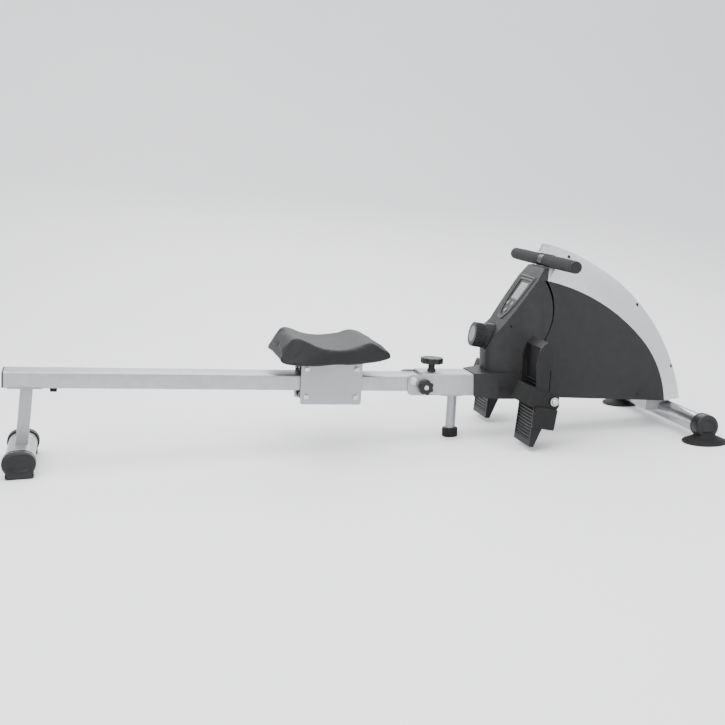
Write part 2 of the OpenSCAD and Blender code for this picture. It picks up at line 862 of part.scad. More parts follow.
// Two plates bolted to the beam that carry every axle.
module drive_frame() {
    outline = [
        [spool_pos[0] - 50, 138], spool_pos + [-18, 20], spool_pos + [6, 26],
        brake_pivot + [-16, 6], brake_pivot + [4, 16], brake_pivot + [16, 2],
        flywheel_pos + [-14, 24], flywheel_pos + [16, 20], [flywheel_pos[0] + 50, 120]];
    color("gray") difference() {
        union() {
            for (side = [-1, 1]) translate([0, side * (plate_y + plate_t / 2), 0])
                across(plate_t) polygon(outline);
            for (side = [-1, 1]) {
                cross_rod(brake_pivot, 18, plate_y + plate_t - ear_y, side * (plate_y + plate_t + ear_y) / 2);
                translate([0, side * (ear_y + plate_t / 2), 0]) across(plate_t)
                    polygon([guide_pos + [-8, 9], brake_pivot + [-9, 0], brake_pivot + [9, 0],
                        guide_pos + [9, 9]]);
            }
        }
        cross_rod(spool_pos, axle_d, 200);
        cross_rod(flywheel_pos, axle_d, 200);
        cross_rod(brake_pivot, brake_pin_d, 200);
        cross_rod(guide_pos, brake_pin_d, 200);
        cross_rod([foot_x, foot_z], foot_shaft_d + 1, 200);
    }
}

module drive_axles() {
    width = 2 * (plate_y + plate_t);
    color("gainsboro") union() {
        for (at = [spool_pos, flywheel_pos]) union() {
            cross_rod(at, axle_d, width);
            for (side = [-1, 1]) cross_rod(at, 19, 6, side * (width / 2 + 3));
        }
        pin(brake_pivot, width);
        pin(guide_pos, 2 * (ear_y + plate_t));
    }
}

// Pin across the machine with a head at each end.
module pin(at, width) {
    union() {
        cross_rod(at, brake_pin_d, width);
        for (side = [-1, 1]) cross_rod(at, 14, 4, side * (width / 2 + 2));
    }
}

// Spool with flanges, its drive pulley and the hub of the recoil spring.
module strap_spool() {
    color([0.35, 0.35, 0.36]) difference() {
        union() {
            cross_rod(spool_pos, spool_d, 56, 2);
            for (y = [-19, 19]) cross_rod(spool_pos, spool_d + 24, 3, y);
            cross_rod(spool_pos, pulley_d, belt_w + 2, belt_y + belt_w / 2);
            cross_rod(spool_pos, 24, 18, -33);
        }
        difference() {
            cross_rod(spool_pos, pulley_d + 10, belt_w, belt_y + belt_w / 2);
            cross_rod(spool_pos, pulley_d - 2 * belt_t, belt_w + 10, belt_y + belt_w / 2);
        }
        cross_rod(spool_pos, axle_d + 2 * running, 200);
    }
}

// Flat spiral spring that winds the strap back in.
module recoil_spring() {
    turns = 5;
    pitch = 4;
    r0 = 13;
    outer = [for (a = [0:20:360 * turns]) (r0 + pitch * a / 360) * [cos(a), sin(a)]];
    inner = [for (a = [360 * turns:-20:0]) (r0 + pitch * a / 360 + 1) * [cos(a), sin(a)]];
    color("silver") translate([spool_pos[0], spring_y, spool_pos[1]]) across(spring_w)
        polygon(concat(outer, inner));
}

// Belt: the band round both pulleys, open inside.
module drive_belt() {
    gap = 0.5;
    module band(extra) {
        r1 = pulley_d / 2 - belt_t + gap + extra;
        r2 = small_pulley_d / 2 - belt_t + gap + extra;
        dist = norm(flywheel_pos - spool_pos);
        dir = atan2(flywheel_pos[1] - spool_pos[1], flywheel_pos[0] - spool_pos[0]);
        lean = acos((r1 - r2) / dist);
        union() {
            translate(spool_pos) circle(r = r1);
            translate(flywheel_pos) circle(r = r2);
            translate(spool_pos) rotate(dir) polygon([
                r1 * [cos(lean), sin(lean)], r1 * [cos(lean), -sin(lean)],
                [dist, 0] + r2 * [cos(lean), -sin(lean)], [dist, 0] + r2 * [cos(lean), sin(lean)]]);
        }
    }
    color([0.1, 0.1, 0.1]) translate([0, belt_y + belt_w / 2, 0]) across(belt_w - 2)
        difference() {
            band(belt_t - 1);
            band(0);
        }
}

module flywheel_pulley() {
    y = belt_y + belt_w / 2;
    color([0.5, 0.5, 0.5]) difference() {
        cross_rod(flywheel_pos, small_pulley_d, belt_w + 2, y);
        difference() {
            cross_rod(flywheel_pos, small_pulley_d + 10, belt_w, y);
            cross_rod(flywheel_pos, small_pulley_d - 2 * belt_t, belt_w + 10, y);
        }
        cross_rod(flywheel_pos, axle_d + 2 * running, 100);
    }
}

module flywheel() {
    color("gray") difference() {
        union() {
            cross_rod(flywheel_pos, flywheel_d, flywheel_w);
            cross_rod(flywheel_pos, 44, flywheel_w + 14);
        }
        for (y = [-flywheel_w / 2, flywheel_w / 2]) difference() {
            cross_rod(flywheel_pos, flywheel_d - 40, flywheel_w / 2, y);
            cross_rod(flywheel_pos, 60, flywheel_w, y);
        }
        cross_rod(flywheel_pos, axle_d + 2 * running, 100);
    }
}

module guide_roller() {
    color([0.3, 0.3, 0.3]) difference() {
        union() {
            cross_rod(guide_pos, 2 * guide_r, strap_w + 8);
            for (side = [-1, 1]) cross_rod(guide_pos, 2 * guide_r + 8, 2, side * (strap_w / 2 + 4));
        }
        cross_rod(guide_pos, brake_pin_d + 2 * running, 100);
    }
}

// Ring sector about the flywheel between two angles.
module rim_sector(r1, r2, from, to, width) {
    mid = (from + to) / 2;
    reach = 3 * r2;
    translate([flywheel_pos[0], 0, flywheel_pos[1]]) across(width) intersection() {
        difference() {
            circle(r = r2, $fn = 128);
            circle(r = r1, $fn = 128);
        }
        polygon([[0, 0], reach * [cos(from), sin(from)], reach * [cos(mid), sin(mid)],
            reach * [cos(to), sin(to)]]);
    }
}

// Swinging bracket over the flywheel rim that carries the magnets.
module brake_arm() {
    color("silver") difference() {
        union() {
            rim_sector(brake_arm_r + 8, brake_arm_r + 12, 62, 124, flywheel_w + 10);
            cross_rod(brake_pivot, 20, flywheel_w + 10);
        }
        cross_rod(brake_pivot, brake_pin_d + 2 * running, 100);
    }
}

module brake_magnets() {
    color([0.25, 0.25, 0.27]) for (i = [0:3])
        rim_sector(brake_arm_r, brake_arm_r + 8, 66 + i * 12, 74 + i * 12, flywheel_w - 4);
}

module rod_between(a, b, d) {
    span = b - a;
    translate([a[0], 0, a[1]]) rotate([0, 90 - atan2(span[1], span[0]), 0]) cylinder(d = d, h = norm(span));
}

// Cable from the tension knob to the brake arm.
module brake_cable() {
    bends = [knob_base + [8, -2], knob_base + [46, -6], [brake_pivot[0] - 66, brake_pivot[1] + 34],
        brake_pivot + [-13, 4]];
    overrun = 1.2;
    color([0.1, 0.1, 0.1]) translate([0, -20, 0]) union()
        for (i = [0:len(bends) - 2])
            rod_between(bends[i], bends[i + 1] + overrun * unit(bends[i + 1] - bends[i]), 5);
}

// ---- Footrests ----

module footrest_shaft() {
    reach = foot_pitch / 2 + foot_w / 2;
    collar_in = plate_y + plate_t + air;
    collar_out = foot_pitch / 2 - foot_w / 2 - air;
    color("gainsboro") union() {
        cross_rod([foot_x, foot_z], foot_shaft_d, 2 * reach + 12);
        for (side = [-1, 1]) {
            cross_rod([foot_x, foot_z], collar_d, collar_out - collar_in, side * (collar_in + collar_out) / 2);
            cross_rod([foot_x, foot_z], foot_shaft_d + 8, 8, side * (reach + air + 4));
            translate([foot_x, side * (reach + air + 8), foot_z]) sphere(d = foot_shaft_d + 4);
        }
    }
}

module footrest(side) {
    inner_w = foot_w - 2 * foot_wall;
    translate([foot_x, side * foot_pitch / 2, foot_z]) difference() {
        union() {
            difference() {
                across(foot_w) polygon(rest_pts);
                across(inner_w) polygon(rest_floor_pts);
                across(inner_w) polygon(rest_back_pts);
            }
            cross_rod([0, 0], collar_d, foot_w);
            for (i = [0:9]) translate([-60 + i * 1.3, 0, -96 + i * 8]) cube([6, inner_w, 3], center = true);
            for (i = [0:3]) translate([-33 + i * 0.5, 0, 22 + i * 9]) cube([8, inner_w, 3], center = true);
        }
        cross_rod([0, 0], foot_shaft_d + 2 * running, foot_w + 2);
        for (wall = [-1, 1]) translate([-12, wall * foot_w / 2, 52]) rotate([0, 5, 0])
            cube([5, 4 * foot_wall, 56], center = true);
    }
}

module right_footrest() {
    color([0.22, 0.22, 0.23]) footrest(-1);
}

module left_footrest() {
    color([0.22, 0.22, 0.23]) footrest(1);
}

// Strap band round the instep and both side walls.
module foot_strap(side) {
    gap = 0.3;
    tall = 48;
    module ring(extra) {
        half = foot_w / 2 + gap + extra;
        polygon([[-6 + extra, half], [-64, half], [-73 - extra, half - 14], [-77 - extra, 0],
            [-73 - extra, -half + 14], [-64, -half], [-6 + extra, -half]]);
    }
    color([0.12, 0.12, 0.12]) difference() {
        translate([foot_x, side * foot_pitch / 2, foot_z - 10]) rotate([0, 24, 0]) difference() {
            translate([0, 0, -tall / 2]) linear_extrude(height = tall) difference() {
                ring(2);
                ring(0);
            }
            block([-6, -foot_w, -tall], [10, foot_w, tall]);
        }
        cross_rod([foot_x, foot_z], collar_d + 2, foot_pitch + 2 * foot_w);
    }
}

module right_foot_strap() {
    foot_strap(-1);
}

module left_foot_strap() {
    foot_strap(1);
}

// ---- Seat ----

// Saddle: raised rear edge, dished middle, tapered front lip.
module seat_pad() {
    back = seat_x - 145;
    dish = [for (i = [0:8]) let(t = i / 8)
        [back + 45 + t * (seat_l - 102), seat_bottom + 67 - 15 * t - 28 * sin(180 * t)]];
    profile = concat([[back, seat_bottom + 18], [back + 46, seat_bottom + 8], [back + 120, seat_bottom],
        [back + 216, seat_bottom], [back + seat_l, seat_bottom + 8], [back + seat_l - 4, seat_bottom + 27]],
        reversed(dish));
    color([0.25, 0.25, 0.26]) difference() {
        union() {
            intersection() {
                across(seat_w) polygon(profile);
                linear_extrude(height = 900) seat_plan();
            }
            translate([seat_x - 60, -40, seat_bottom - 8]) cube([120, 80, 20]);
        }
        sloped() block([-seat_s - 300, -seat_w, -100], [-seat_s + 300, seat_w, base_h + base_t]);
    }
}

module seat_plan() {
    back = seat_x - 145;
    half = seat_w / 2;
    r = 36;
    union() {
        translate([back + r, -half]) square([seat_l - 2 * r - 20, seat_w]);
        translate([back, -half + r]) square([seat_l, seat_w - 2 * r]);
        for (side = [-1, 1]) {
            translate([back + r, side * (half - r)]) circle(r = r);
            polygon([[back + seat_l - 60, side * half], [back + seat_l - r - 20, side * half],
                [back + seat_l, side * (half - r)], [back + seat_l - 60, 0]]);
        }
    }
}

module seat_carriage() {
    low = rail_bottom - 35;
    color("silver") sloped() translate([-seat_s, 0, 0]) difference() {
        union() {
            for (side = [-1, 1]) translate([0, side * (plate_in + carriage_t / 2), 0])
                across(carriage_t) union() {
                    translate([-plate_l / 2, low + 6]) square([plate_l, base_h - low - 6]);
                    translate([-plate_l / 2 + 6, low]) square([plate_l - 12, 12]);
                    for (end = [-1, 1]) translate([end * (plate_l / 2 - 6), low + 6]) circle(r = 6);
                }
            block([-plate_l / 2, -plate_in - carriage_t, base_h],
                [plate_l / 2, plate_in + carriage_t, base_h + base_t]);
        }
        for (end = [-1, 1]) {
            cross_rod([end * axle_half, up_axle_h], roller_axle_d, 200);
            cross_rod([end * axle_half, low_axle_h], roller_axle_d, 200);
        }
    }
}

// Axle bolts with their heads, spacers and nuts.
module carriage_axles() {
    width = 2 * (plate_in + carriage_t);
    color("gainsboro") sloped() translate([-seat_s, 0, 0])
        for (end = [-1, 1]) for (h = [up_axle_h, low_axle_h]) union() {
            cross_rod([end * axle_half, h], roller_axle_d, width);
            for (side = [-1, 1]) cross_rod([end * axle_half, h], 15, 4, side * (width / 2 + 2));
        }
}

module rollers(end, d, h) {
    color([0.15, 0.15, 0.15]) sloped() translate([-seat_s + end * axle_half, 0, h])
        for (side = [-1, 1]) difference() {
            cross_rod([0, 0], d, wheel_w, side * (wheel_y + wheel_w / 2));
            cross_rod([0, 0], roller_axle_d + 2 * running, 200);
        }
}

module upper_rear_rollers() {
    rollers(-1, roller_d, up_axle_h);
}

module upper_front_rollers() {
    rollers(1, roller_d, up_axle_h);
}

module lower_rear_rollers() {
    rollers(-1, low_roller_d, low_axle_h);
}

module lower_front_rollers() {
    rollers(1, low_roller_d, low_axle_h);
}

rail();
rail_end_plug();
rail_tongue();
rear_leg();
rear_leg_bolts();
rear_stabiliser();
rear_end_caps();
rail_bumper();
main_beam();
fold_pivot_bolt();
lock_knob();
side_knob();
mid_leg();
mid_leg_foot();
stabiliser_saddle();
front_stabiliser();
front_end_caps();
front_feet();
right_side_cover();
left_side_cover();
arch_shroud();
nose_cover();
base_cover();
housing_screws();
handle_cradle();
console_bezel();
console_display();
button_left();
button_right();
button_lower();
tension_dial();
tension_knob();
handle_bar();
handle_grips();
handle_end_caps();
handle_yoke();
pull_strap();
drive_frame();
drive_axles();
strap_spool();
recoil_spring();
drive_belt();
flywheel_pulley();
flywheel();
guide_roller();
brake_arm();
brake_magnets();
brake_cable();
footrest_shaft();
right_footrest();
left_footrest();
right_foot_strap();
left_foot_strap();
seat_pad();
seat_carriage();
carriage_axles();
upper_rear_rollers();
upper_front_rollers();
lower_rear_rollers();
lower_front_rollers();
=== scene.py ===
import json
import math

import bmesh
import bpy
from mathutils import Matrix, Vector
from mathutils.bvhtree import BVHTree

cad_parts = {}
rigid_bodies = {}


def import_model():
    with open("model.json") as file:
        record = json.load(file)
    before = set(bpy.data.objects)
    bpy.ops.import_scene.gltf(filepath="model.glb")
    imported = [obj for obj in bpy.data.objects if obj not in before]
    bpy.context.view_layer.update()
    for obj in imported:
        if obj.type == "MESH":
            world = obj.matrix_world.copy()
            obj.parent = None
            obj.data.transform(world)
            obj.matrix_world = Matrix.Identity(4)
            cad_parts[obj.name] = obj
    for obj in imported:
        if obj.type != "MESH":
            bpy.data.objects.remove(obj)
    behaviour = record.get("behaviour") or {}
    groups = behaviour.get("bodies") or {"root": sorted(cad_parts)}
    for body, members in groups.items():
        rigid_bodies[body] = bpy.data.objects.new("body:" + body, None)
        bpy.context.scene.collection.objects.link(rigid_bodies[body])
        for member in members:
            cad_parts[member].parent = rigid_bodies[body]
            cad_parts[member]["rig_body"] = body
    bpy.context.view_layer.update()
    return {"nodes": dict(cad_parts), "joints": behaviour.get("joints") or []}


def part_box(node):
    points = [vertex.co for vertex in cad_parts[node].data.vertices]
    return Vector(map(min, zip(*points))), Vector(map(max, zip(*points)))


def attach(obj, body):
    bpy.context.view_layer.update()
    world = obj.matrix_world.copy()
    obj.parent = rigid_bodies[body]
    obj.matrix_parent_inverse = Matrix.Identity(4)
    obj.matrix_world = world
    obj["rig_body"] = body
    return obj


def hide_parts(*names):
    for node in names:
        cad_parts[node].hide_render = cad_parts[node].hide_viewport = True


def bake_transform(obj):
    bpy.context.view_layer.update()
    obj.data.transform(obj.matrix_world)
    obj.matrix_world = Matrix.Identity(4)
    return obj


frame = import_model()

nodes = frame["nodes"]
joints = {joint["name"]: joint for joint in frame["joints"]}

pivot = Vector(joints["fold"]["pos_m"])
alongRail = Vector(joints["seat_slide"]["axis"])
offRail = Vector((-alongRail.z, 0, alongRail.x))
across = Vector((0, 1, 0))
print("frame loaded")


# small tools

def span(node, axis, origin=pivot):
    reach = [(vertex.co - origin).dot(axis) for vertex in nodes[node].data.vertices]
    return min(reach), max(reach)


def axesAt(origin, xAxis, yAxis, zAxis):
    matrix = Matrix((xAxis, yAxis, zAxis)).transposed().to_4x4()
    matrix.translation = origin
    return matrix


def aimAt(origin, zAxis):
    side = across if abs(zAxis.y) < 0.9 else Vector((1, 0, 0))
    xAxis = side.cross(zAxis).normalized()
    return axesAt(origin, xAxis, zAxis.cross(xAxis), zAxis)


def facesOut(bm):
    bmesh.ops.recalc_face_normals(bm, faces=bm.faces)


def addToScene(item):
    bpy.context.scene.collection.objects.link(item)


def smoothShade(mesh, angle):
    mesh.shade_smooth()
    mesh.set_sharp_from_angle(angle=math.radians(angle))


def newPiece(name, bm, material, angle=35):
    mesh = bpy.data.meshes.new(name)
    bm.to_mesh(mesh)
    bm.free()
    piece = bpy.data.objects.new(name, mesh)
    addToScene(piece)
    mesh.materials.append(material)
    smoothShade(mesh, angle)
    return piece


def applyAll(piece, angle=None):
    depsgraph = bpy.context.evaluated_depsgraph_get()
    mesh = bpy.data.meshes.new_from_object(piece.evaluated_get(depsgraph))
    piece.modifiers.clear()
    piece.data = mesh
    if angle:
        smoothShade(mesh, angle)
    return piece


def bevelEdges(piece, width):
    look = {"segments": 2, "angle": 35}
    bevel = piece.modifiers.new("softEdges", "BEVEL")
    bevel.width = width
    bevel.segments = look["segments"]
    bevel.limit_method = "ANGLE"
    bevel.angle_limit = math.radians(look["angle"])
    applyAll(piece, look["angle"])
    even = piece.modifiers.new("evenShade", "WEIGHTED_NORMAL")
    even.keep_sharp = True
    return applyAll(piece)


def settle(piece, body, replaced=()):
    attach(piece, body)
    if replaced:
        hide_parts(*replaced)
    return piece


def joinMeshes(name, pieces):
    bm = bmesh.new()
    material = pieces[0].data.materials[0]
    for piece in pieces:
        bm.from_mesh(piece.data)
        bpy.data.objects.remove(piece)
    return newPiece(name, bm, material)


def cadCopy(node):
    bm = bmesh.new()
    bm.from_mesh(nodes[node].data)
    bmesh.ops.remove_doubles(bm, verts=bm.verts, dist=1e-5)
    bmesh.ops.dissolve_limit(bm, angle_limit=math.radians(0.5), verts=bm.verts, edges=bm.edges)
    return bm


def dressNode(node, material, edge):
    piece = newPiece(node + "_fine", cadCopy(node), material)
    if edge:
        bevelEdges(piece, edge)
    return settle(piece, nodes[node]["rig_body"], [node])


def turned(name, outline, place, material, sides=48):
    # outline runs up the axis as (radius, height); off the axis its two ends are joined, which leaves a bore
    bm = bmesh.new()
    rings = []
    for radius, height in outline:
        if radius < 1e-6:
            rings.append([bm.verts.new((0, 0, height))])
        else:
            rings.append([bm.verts.new((radius * math.cos(turn), radius * math.sin(turn), height))
                          for turn in [2 * math.pi * k / sides for k in range(sides)]])
    if outline[0][0] > 0:
        rings.append(rings[0])
    for low, high in zip(rings, rings[1:]):
        for k in range(sides):
            n = (k + 1) % sides
            if len(low) == 1:
                bm.faces.new((low[0], high[n], high[k]))
            elif len(high) == 1:
                bm.faces.new((low[k], low[n], high[0]))
            else:
                bm.faces.new((low[k], low[n], high[n], high[k]))
    facesOut(bm)
    bm.transform(place)
    return newPiece(name, bm, material)


def loft(bm, rows, closed=False):
    # faces between rows of vertices
    for low, high in zip(rows, rows[1:]):
        count = len(low)
        for k in range(count if closed else count - 1):
            n = (k + 1) % count
            bm.faces.new((low[k], low[n], high[n], high[k]))


def through(keys, x):
    # smooth curve through (x, y) keys
    keys = [keys[0]] + list(keys) + [keys[-1]]
    for k in range(1, len(keys) - 2):
        if x <= keys[k + 1][0] or k == len(keys) - 3:
            (x0, y0), (x1, y1), (x2, y2), (x3, y3) = keys[k - 1:k + 3]
            t = min(max((x - x1) / (x2 - x1), 0), 1)
            m1 = (y2 - y0) / (x2 - x0) * (x2 - x1)
            m2 = (y3 - y1) / (x3 - x1) * (x2 - x1)
            return ((2 * t**3 - 3 * t**2 + 1) * y1 + (t**3 - 2 * t**2 + t) * m1
                    + (3 * t**2 - 2 * t**3) * y2 + (t**3 - t**2) * m2)
    return keys[-1][1]


# shader groups

def openGroup(name, inputs, outputs):
    group = bpy.data.node_groups.new(name, "ShaderNodeTree")
    for label, kind, value in inputs:
        group.interface.new_socket(name=label, in_out="INPUT", socket_type=kind).default_value = value
    for label, kind in outputs:
        group.interface.new_socket(name=label, in_out="OUTPUT", socket_type=kind)
    return group, group.nodes.new("NodeGroupInput"), group.nodes.new("NodeGroupOutput")


def setInputs(node, values):
    for label, value in values.items():
        node.inputs[label].default_value = value
    return node


def placeGroup(tree, group, values):
    node = tree.nodes.new("ShaderNodeGroup")
    node.node_tree = group
    return setInputs(node, values)


def objectPlace(tree):
    return tree.nodes.new("ShaderNodeTexCoord").outputs["Object"]


def wire(tree, *pairs):
    for source, target in pairs:
        tree.links.new(source, target)


def mathNode(tree, operation, *values, clamp=False):
    node = tree.nodes.new("ShaderNodeMath")
    node.operation = operation
    node.use_clamp = clamp
    for socket, value in zip(node.inputs, values):
        if isinstance(value, (int, float)):
            socket.default_value = value
        else:
            tree.links.new(value, socket)
    return node.outputs[0]


def grainGroup():
    # fine moulded or painted grain with slow patches over it
    group, start, end = openGroup("surfaceGrain",
                                  [("Grain Size", "NodeSocketFloat", 1800.0), ("Patch Size", "NodeSocketFloat", 9.0)],
                                  [("Height", "NodeSocketFloat"), ("Patches", "NodeSocketFloat")])
    fine = setInputs(group.nodes.new("ShaderNodeTexNoise"), {"Detail": 2.0})
    cells = group.nodes.new("ShaderNodeTexVoronoi")
    patch = setInputs(group.nodes.new("ShaderNodeTexNoise"), {"Detail": 4.0, "Roughness": 0.6})
    place = objectPlace(group)
    for texture, size in ((fine, "Grain Size"), (cells, "Grain Size"), (patch, "Patch Size")):
        wire(group, (place, texture.inputs["Vector"]), (start.outputs[size], texture.inputs["Scale"]))
    both = mathNode(group, "MULTIPLY_ADD", cells.outputs["Distance"], 0.6, fine.outputs["Fac"])
    spread = mathNode(group, "MULTIPLY_ADD", patch.outputs["Fac"], 2.2, -0.6, clamp=True)
    wire(group, (both, end.inputs["Height"]), (spread, end.inputs["Patches"]))
    return group


def scratchGroup():
    # sparse hairline scratches that run along X
    group, start, end = openGroup("hairlines",
                                  [("Density", "NodeSocketFloat", 60.0), ("Threshold", "NodeSocketFloat", 0.66)],
                                  [("Mask", "NodeSocketFloat")])
    stretch = setInputs(group.nodes.new("ShaderNodeMapping"), {"Scale": (0.12, 3.0, 3.0)})
    lines = setInputs(group.nodes.new("ShaderNodeTexNoise"), {"Detail": 6.0})
    wire(group, (objectPlace(group), stretch.inputs["Vector"]),
         (stretch.outputs["Vector"], lines.inputs["Vector"]), (start.outputs["Density"], lines.inputs["Scale"]))
    above = mathNode(group, "SUBTRACT", lines.outputs["Fac"], start.outputs["Threshold"])
    mask = mathNode(group, "MULTIPLY", above, 9.0, clamp=True)
    wire(group, (mask, end.inputs["Mask"]))
    return group


def wearGroup():
    # light on rubbed convex edges
    group, start, end = openGroup("rubbedEdges", [("Reach", "NodeSocketFloat", 14.0)], [("Mask", "NodeSocketFloat")])
    form = group.nodes.new("ShaderNodeNewGeometry")
    breakUp = setInputs(group.nodes.new("ShaderNodeTexNoise"), {"Scale": 45.0, "Detail": 4.0})
    wire(group, (objectPlace(group), breakUp.inputs["Vector"]))
    bulge = mathNode(group, "SUBTRACT", form.outputs["Pointiness"], 0.52)
    edge = mathNode(group, "MULTIPLY", bulge, start.outputs["Reach"], clamp=True)
    mask = mathNode(group, "MULTIPLY", edge, breakUp.outputs["Fac"], clamp=True)
    wire(group, (mask, end.inputs["Mask"]))
    return group


def weaveGroup():
    # over and under threads of a narrow webbing
    group, start, end = openGroup("webbingWeave", [("Threads", "NodeSocketFloat", 900.0)],
                                  [("Height", "NodeSocketFloat"), ("Tone", "NodeSocketFloat")])
    waves = []
    for direction in ("Y", "Z"):
        wave = setInputs(group.nodes.new("ShaderNodeTexWave"), {"Distortion": 0.6, "Detail Scale": 2.0})
        wave.bands_direction = direction
        wire(group, (objectPlace(group), wave.inputs["Vector"]), (start.outputs["Threads"], wave.inputs["Scale"]))
        waves.append(wave.outputs["Fac"])
    crossed = mathNode(group, "MULTIPLY", waves[0], waves[1])
    tone = mathNode(group, "MULTIPLY_ADD", crossed, 0.7, 0.15)
    wire(group, (crossed, end.inputs["Height"]), (tone, end.inputs["Tone"]))
    return group


grain, hairlines, rubbed, weave = grainGroup(), scratchGroup(), wearGroup(), weaveGroup()


# materials

def mixColor(tree, factor, first, second):
    mix = tree.nodes.new("ShaderNodeMix")
    mix.data_type = "RGBA"
    tree.links.new(factor, mix.inputs["Factor"])
    for socket, value in zip([s for s in mix.inputs if s.type == "RGBA"], (first, second)):
        if isinstance(value, (tuple, list)):
            socket.default_value = (*value, 1.0)
        else:
            tree.links.new(value, socket)
    return [s for s in mix.outputs if s.type == "RGBA"][0]


def surface(name, look):
    material = bpy.data.materials.new(name)
    material.use_nodes = True
    tree = material.node_tree
    shader = setInputs(tree.nodes["Principled BSDF"], {
        "Metallic": look.get("metallic", 0.0), "Coat Weight": look.get("coat", 0.0),
        "Coat Roughness": look.get("coatRoughness", 0.2), "Sheen Weight": look.get("sheen", 0.0),
        "Specular IOR Level": look.get("specular", 0.5)})
    texture = placeGroup(tree, grain, {"Grain Size": look.get("grainSize", 1500.0),
                                       "Patch Size": look.get("patchSize", 9.0)})
    color = mixColor(tree, texture.outputs["Patches"], look["color"], look["shade"])
    roughness = mathNode(tree, "MULTIPLY_ADD", texture.outputs["Patches"], look.get("roughSpread", 0.08),
                         look["roughness"])
    if look.get("scratches"):
        scratch = placeGroup(tree, hairlines, {"Threshold": look["scratches"]})
        color = mixColor(tree, scratch.outputs["Mask"], color, look["scratchColor"])
        roughness = mathNode(tree, "MULTIPLY_ADD", scratch.outputs["Mask"], 0.12, roughness)
    if look.get("wearColor"):
        wear = placeGroup(tree, rubbed, {"Reach": 8.0})
        color = mixColor(tree, wear.outputs["Mask"], color, look["wearColor"])
    height = texture.outputs["Height"]
    if look.get("threads"):
        cloth = placeGroup(tree, weave, {"Threads": look["threads"]})
        color = mixColor(tree, cloth.outputs["Tone"], color, look["threadColor"])
        height = cloth.outputs["Height"]
    bump = setInputs(tree.nodes.new("ShaderNodeBump"), {
        "Strength": look["bump"], "Distance": look.get("bumpDepth", 0.0003)})
    wire(tree, (height, bump.inputs["Height"]), (bump.outputs["Normal"], shader.inputs["Normal"]),
         (color, shader.inputs["Base Color"]), (roughness, shader.inputs["Roughness"]))
    return material


silverPaint = surface("silverPaint", {
    "color": (0.33, 0.335, 0.34), "shade": (0.28, 0.285, 0.29), "metallic": 0.75, "roughness": 0.34, "coat": 0.15,
    "grainSize": 2600.0, "patchSize": 3.0, "bump": 0.06, "scratches": 0.70, "scratchColor": (0.45, 0.45, 0.46),
    "wearColor": (0.52, 0.52, 0.52)})
chromePlate = surface("chromePlate", {
    "color": (0.44, 0.44, 0.45), "shade": (0.36, 0.36, 0.37), "metallic": 0.9, "roughness": 0.24,
    "roughSpread": 0.03, "grainSize": 900.0, "patchSize": 9.0, "bump": 0.02, "scratches": 0.74,
    "scratchColor": (0.50, 0.50, 0.51)})
zincPlate = surface("zincPlate", {
    "color": (0.62, 0.62, 0.60), "shade": (0.50, 0.50, 0.47), "metallic": 1.0, "roughness": 0.26,
    "grainSize": 1800.0, "patchSize": 60.0, "bump": 0.08})
bareSteel = surface("bareSteel", {
    "color": (0.55, 0.55, 0.56), "shade": (0.45, 0.45, 0.46), "metallic": 1.0, "roughness": 0.32,
    "grainSize": 1400.0, "patchSize": 20.0, "bump": 0.1, "scratches": 0.6, "scratchColor": (0.7, 0.7, 0.7)})
castIron = surface("castIron", {
    "color": (0.12, 0.12, 0.125), "shade": (0.17, 0.165, 0.16), "metallic": 0.8, "roughness": 0.5,
    "grainSize": 600.0, "patchSize": 25.0, "bump": 0.35})
charcoal = surface("charcoalPlastic", {
    "color": (0.0138, 0.0138, 0.0142), "shade": (0.0163, 0.0163, 0.0167), "specular": 0.20, "roughness": 0.52,
    "roughSpread": 0.06, "grainSize": 2200.0, "patchSize": 5.0, "bump": 0.16, "bumpDepth": 0.0002, "scratches": 0.74,
    "scratchColor": (0.030, 0.030, 0.031), "wearColor": (0.045, 0.045, 0.045)})
archSilver = surface("archSilver", {
    "color": (0.51, 0.52, 0.52), "shade": (0.47, 0.48, 0.48), "metallic": 0.5, "roughness": 0.28, "coat": 0.3,
    "coatRoughness": 0.15, "grainSize": 3000.0, "patchSize": 4.0, "bump": 0.04, "wearColor": (0.55, 0.55, 0.55)})
blackPlastic = surface("blackPlastic", {
    "color": (0.0070, 0.0070, 0.0073), "shade": (0.0100, 0.0100, 0.0104), "specular": 0.28, "roughness": 0.38,
    "grainSize": 1700.0, "patchSize": 18.0, "bump": 0.16, "wearColor": (0.030, 0.030, 0.030)})
pedalPlastic = surface("pedalPlastic", {
    "color": (0.0055, 0.0055, 0.0057), "shade": (0.0080, 0.0080, 0.0083), "specular": 0.20, "roughness": 0.42,
    "grainSize": 1500.0, "patchSize": 16.0, "bump": 0.2, "scratches": 0.70, "scratchColor": (0.016, 0.016, 0.016),
    "wearColor": (0.030, 0.030, 0.030)})
greyPlastic = surface("greyPlastic", {
    "color": (0.20, 0.205, 0.21), "shade": (0.16, 0.165, 0.17), "specular": 0.3, "metallic": 0.2, "roughness": 0.36,
    "grainSize": 2600.0, "patchSize": 30.0, "bump": 0.06})
softRubber = surface("softRubber", {
    "color": (0.0055, 0.0055, 0.0055), "shade": (0.0090, 0.0090, 0.0090), "specular": 0.2, "roughness": 0.58,
    "roughSpread": 0.15, "grainSize": 1100.0, "patchSize": 22.0, "bump": 0.25, "wearColor": (0.022, 0.022, 0.022)})
gripFoam = surface("gripFoam", {
    "color": (0.0250, 0.0250, 0.0254), "shade": (0.0350, 0.0350, 0.0355), "specular": 0.1, "roughness": 0.80,
    "grainSize": 800.0, "patchSize": 30.0, "bump": 0.5, "bumpDepth": 0.0005})
seatSkin = surface("seatSkin", {
    "color": (0.0095, 0.0095, 0.0098), "shade": (0.0135, 0.0135, 0.0138), "specular": 0.2, "roughness": 0.52,
    "grainSize": 520.0, "patchSize": 9.0, "bump": 0.35, "bumpDepth": 0.0005, "wearColor": (0.025, 0.025, 0.025)})
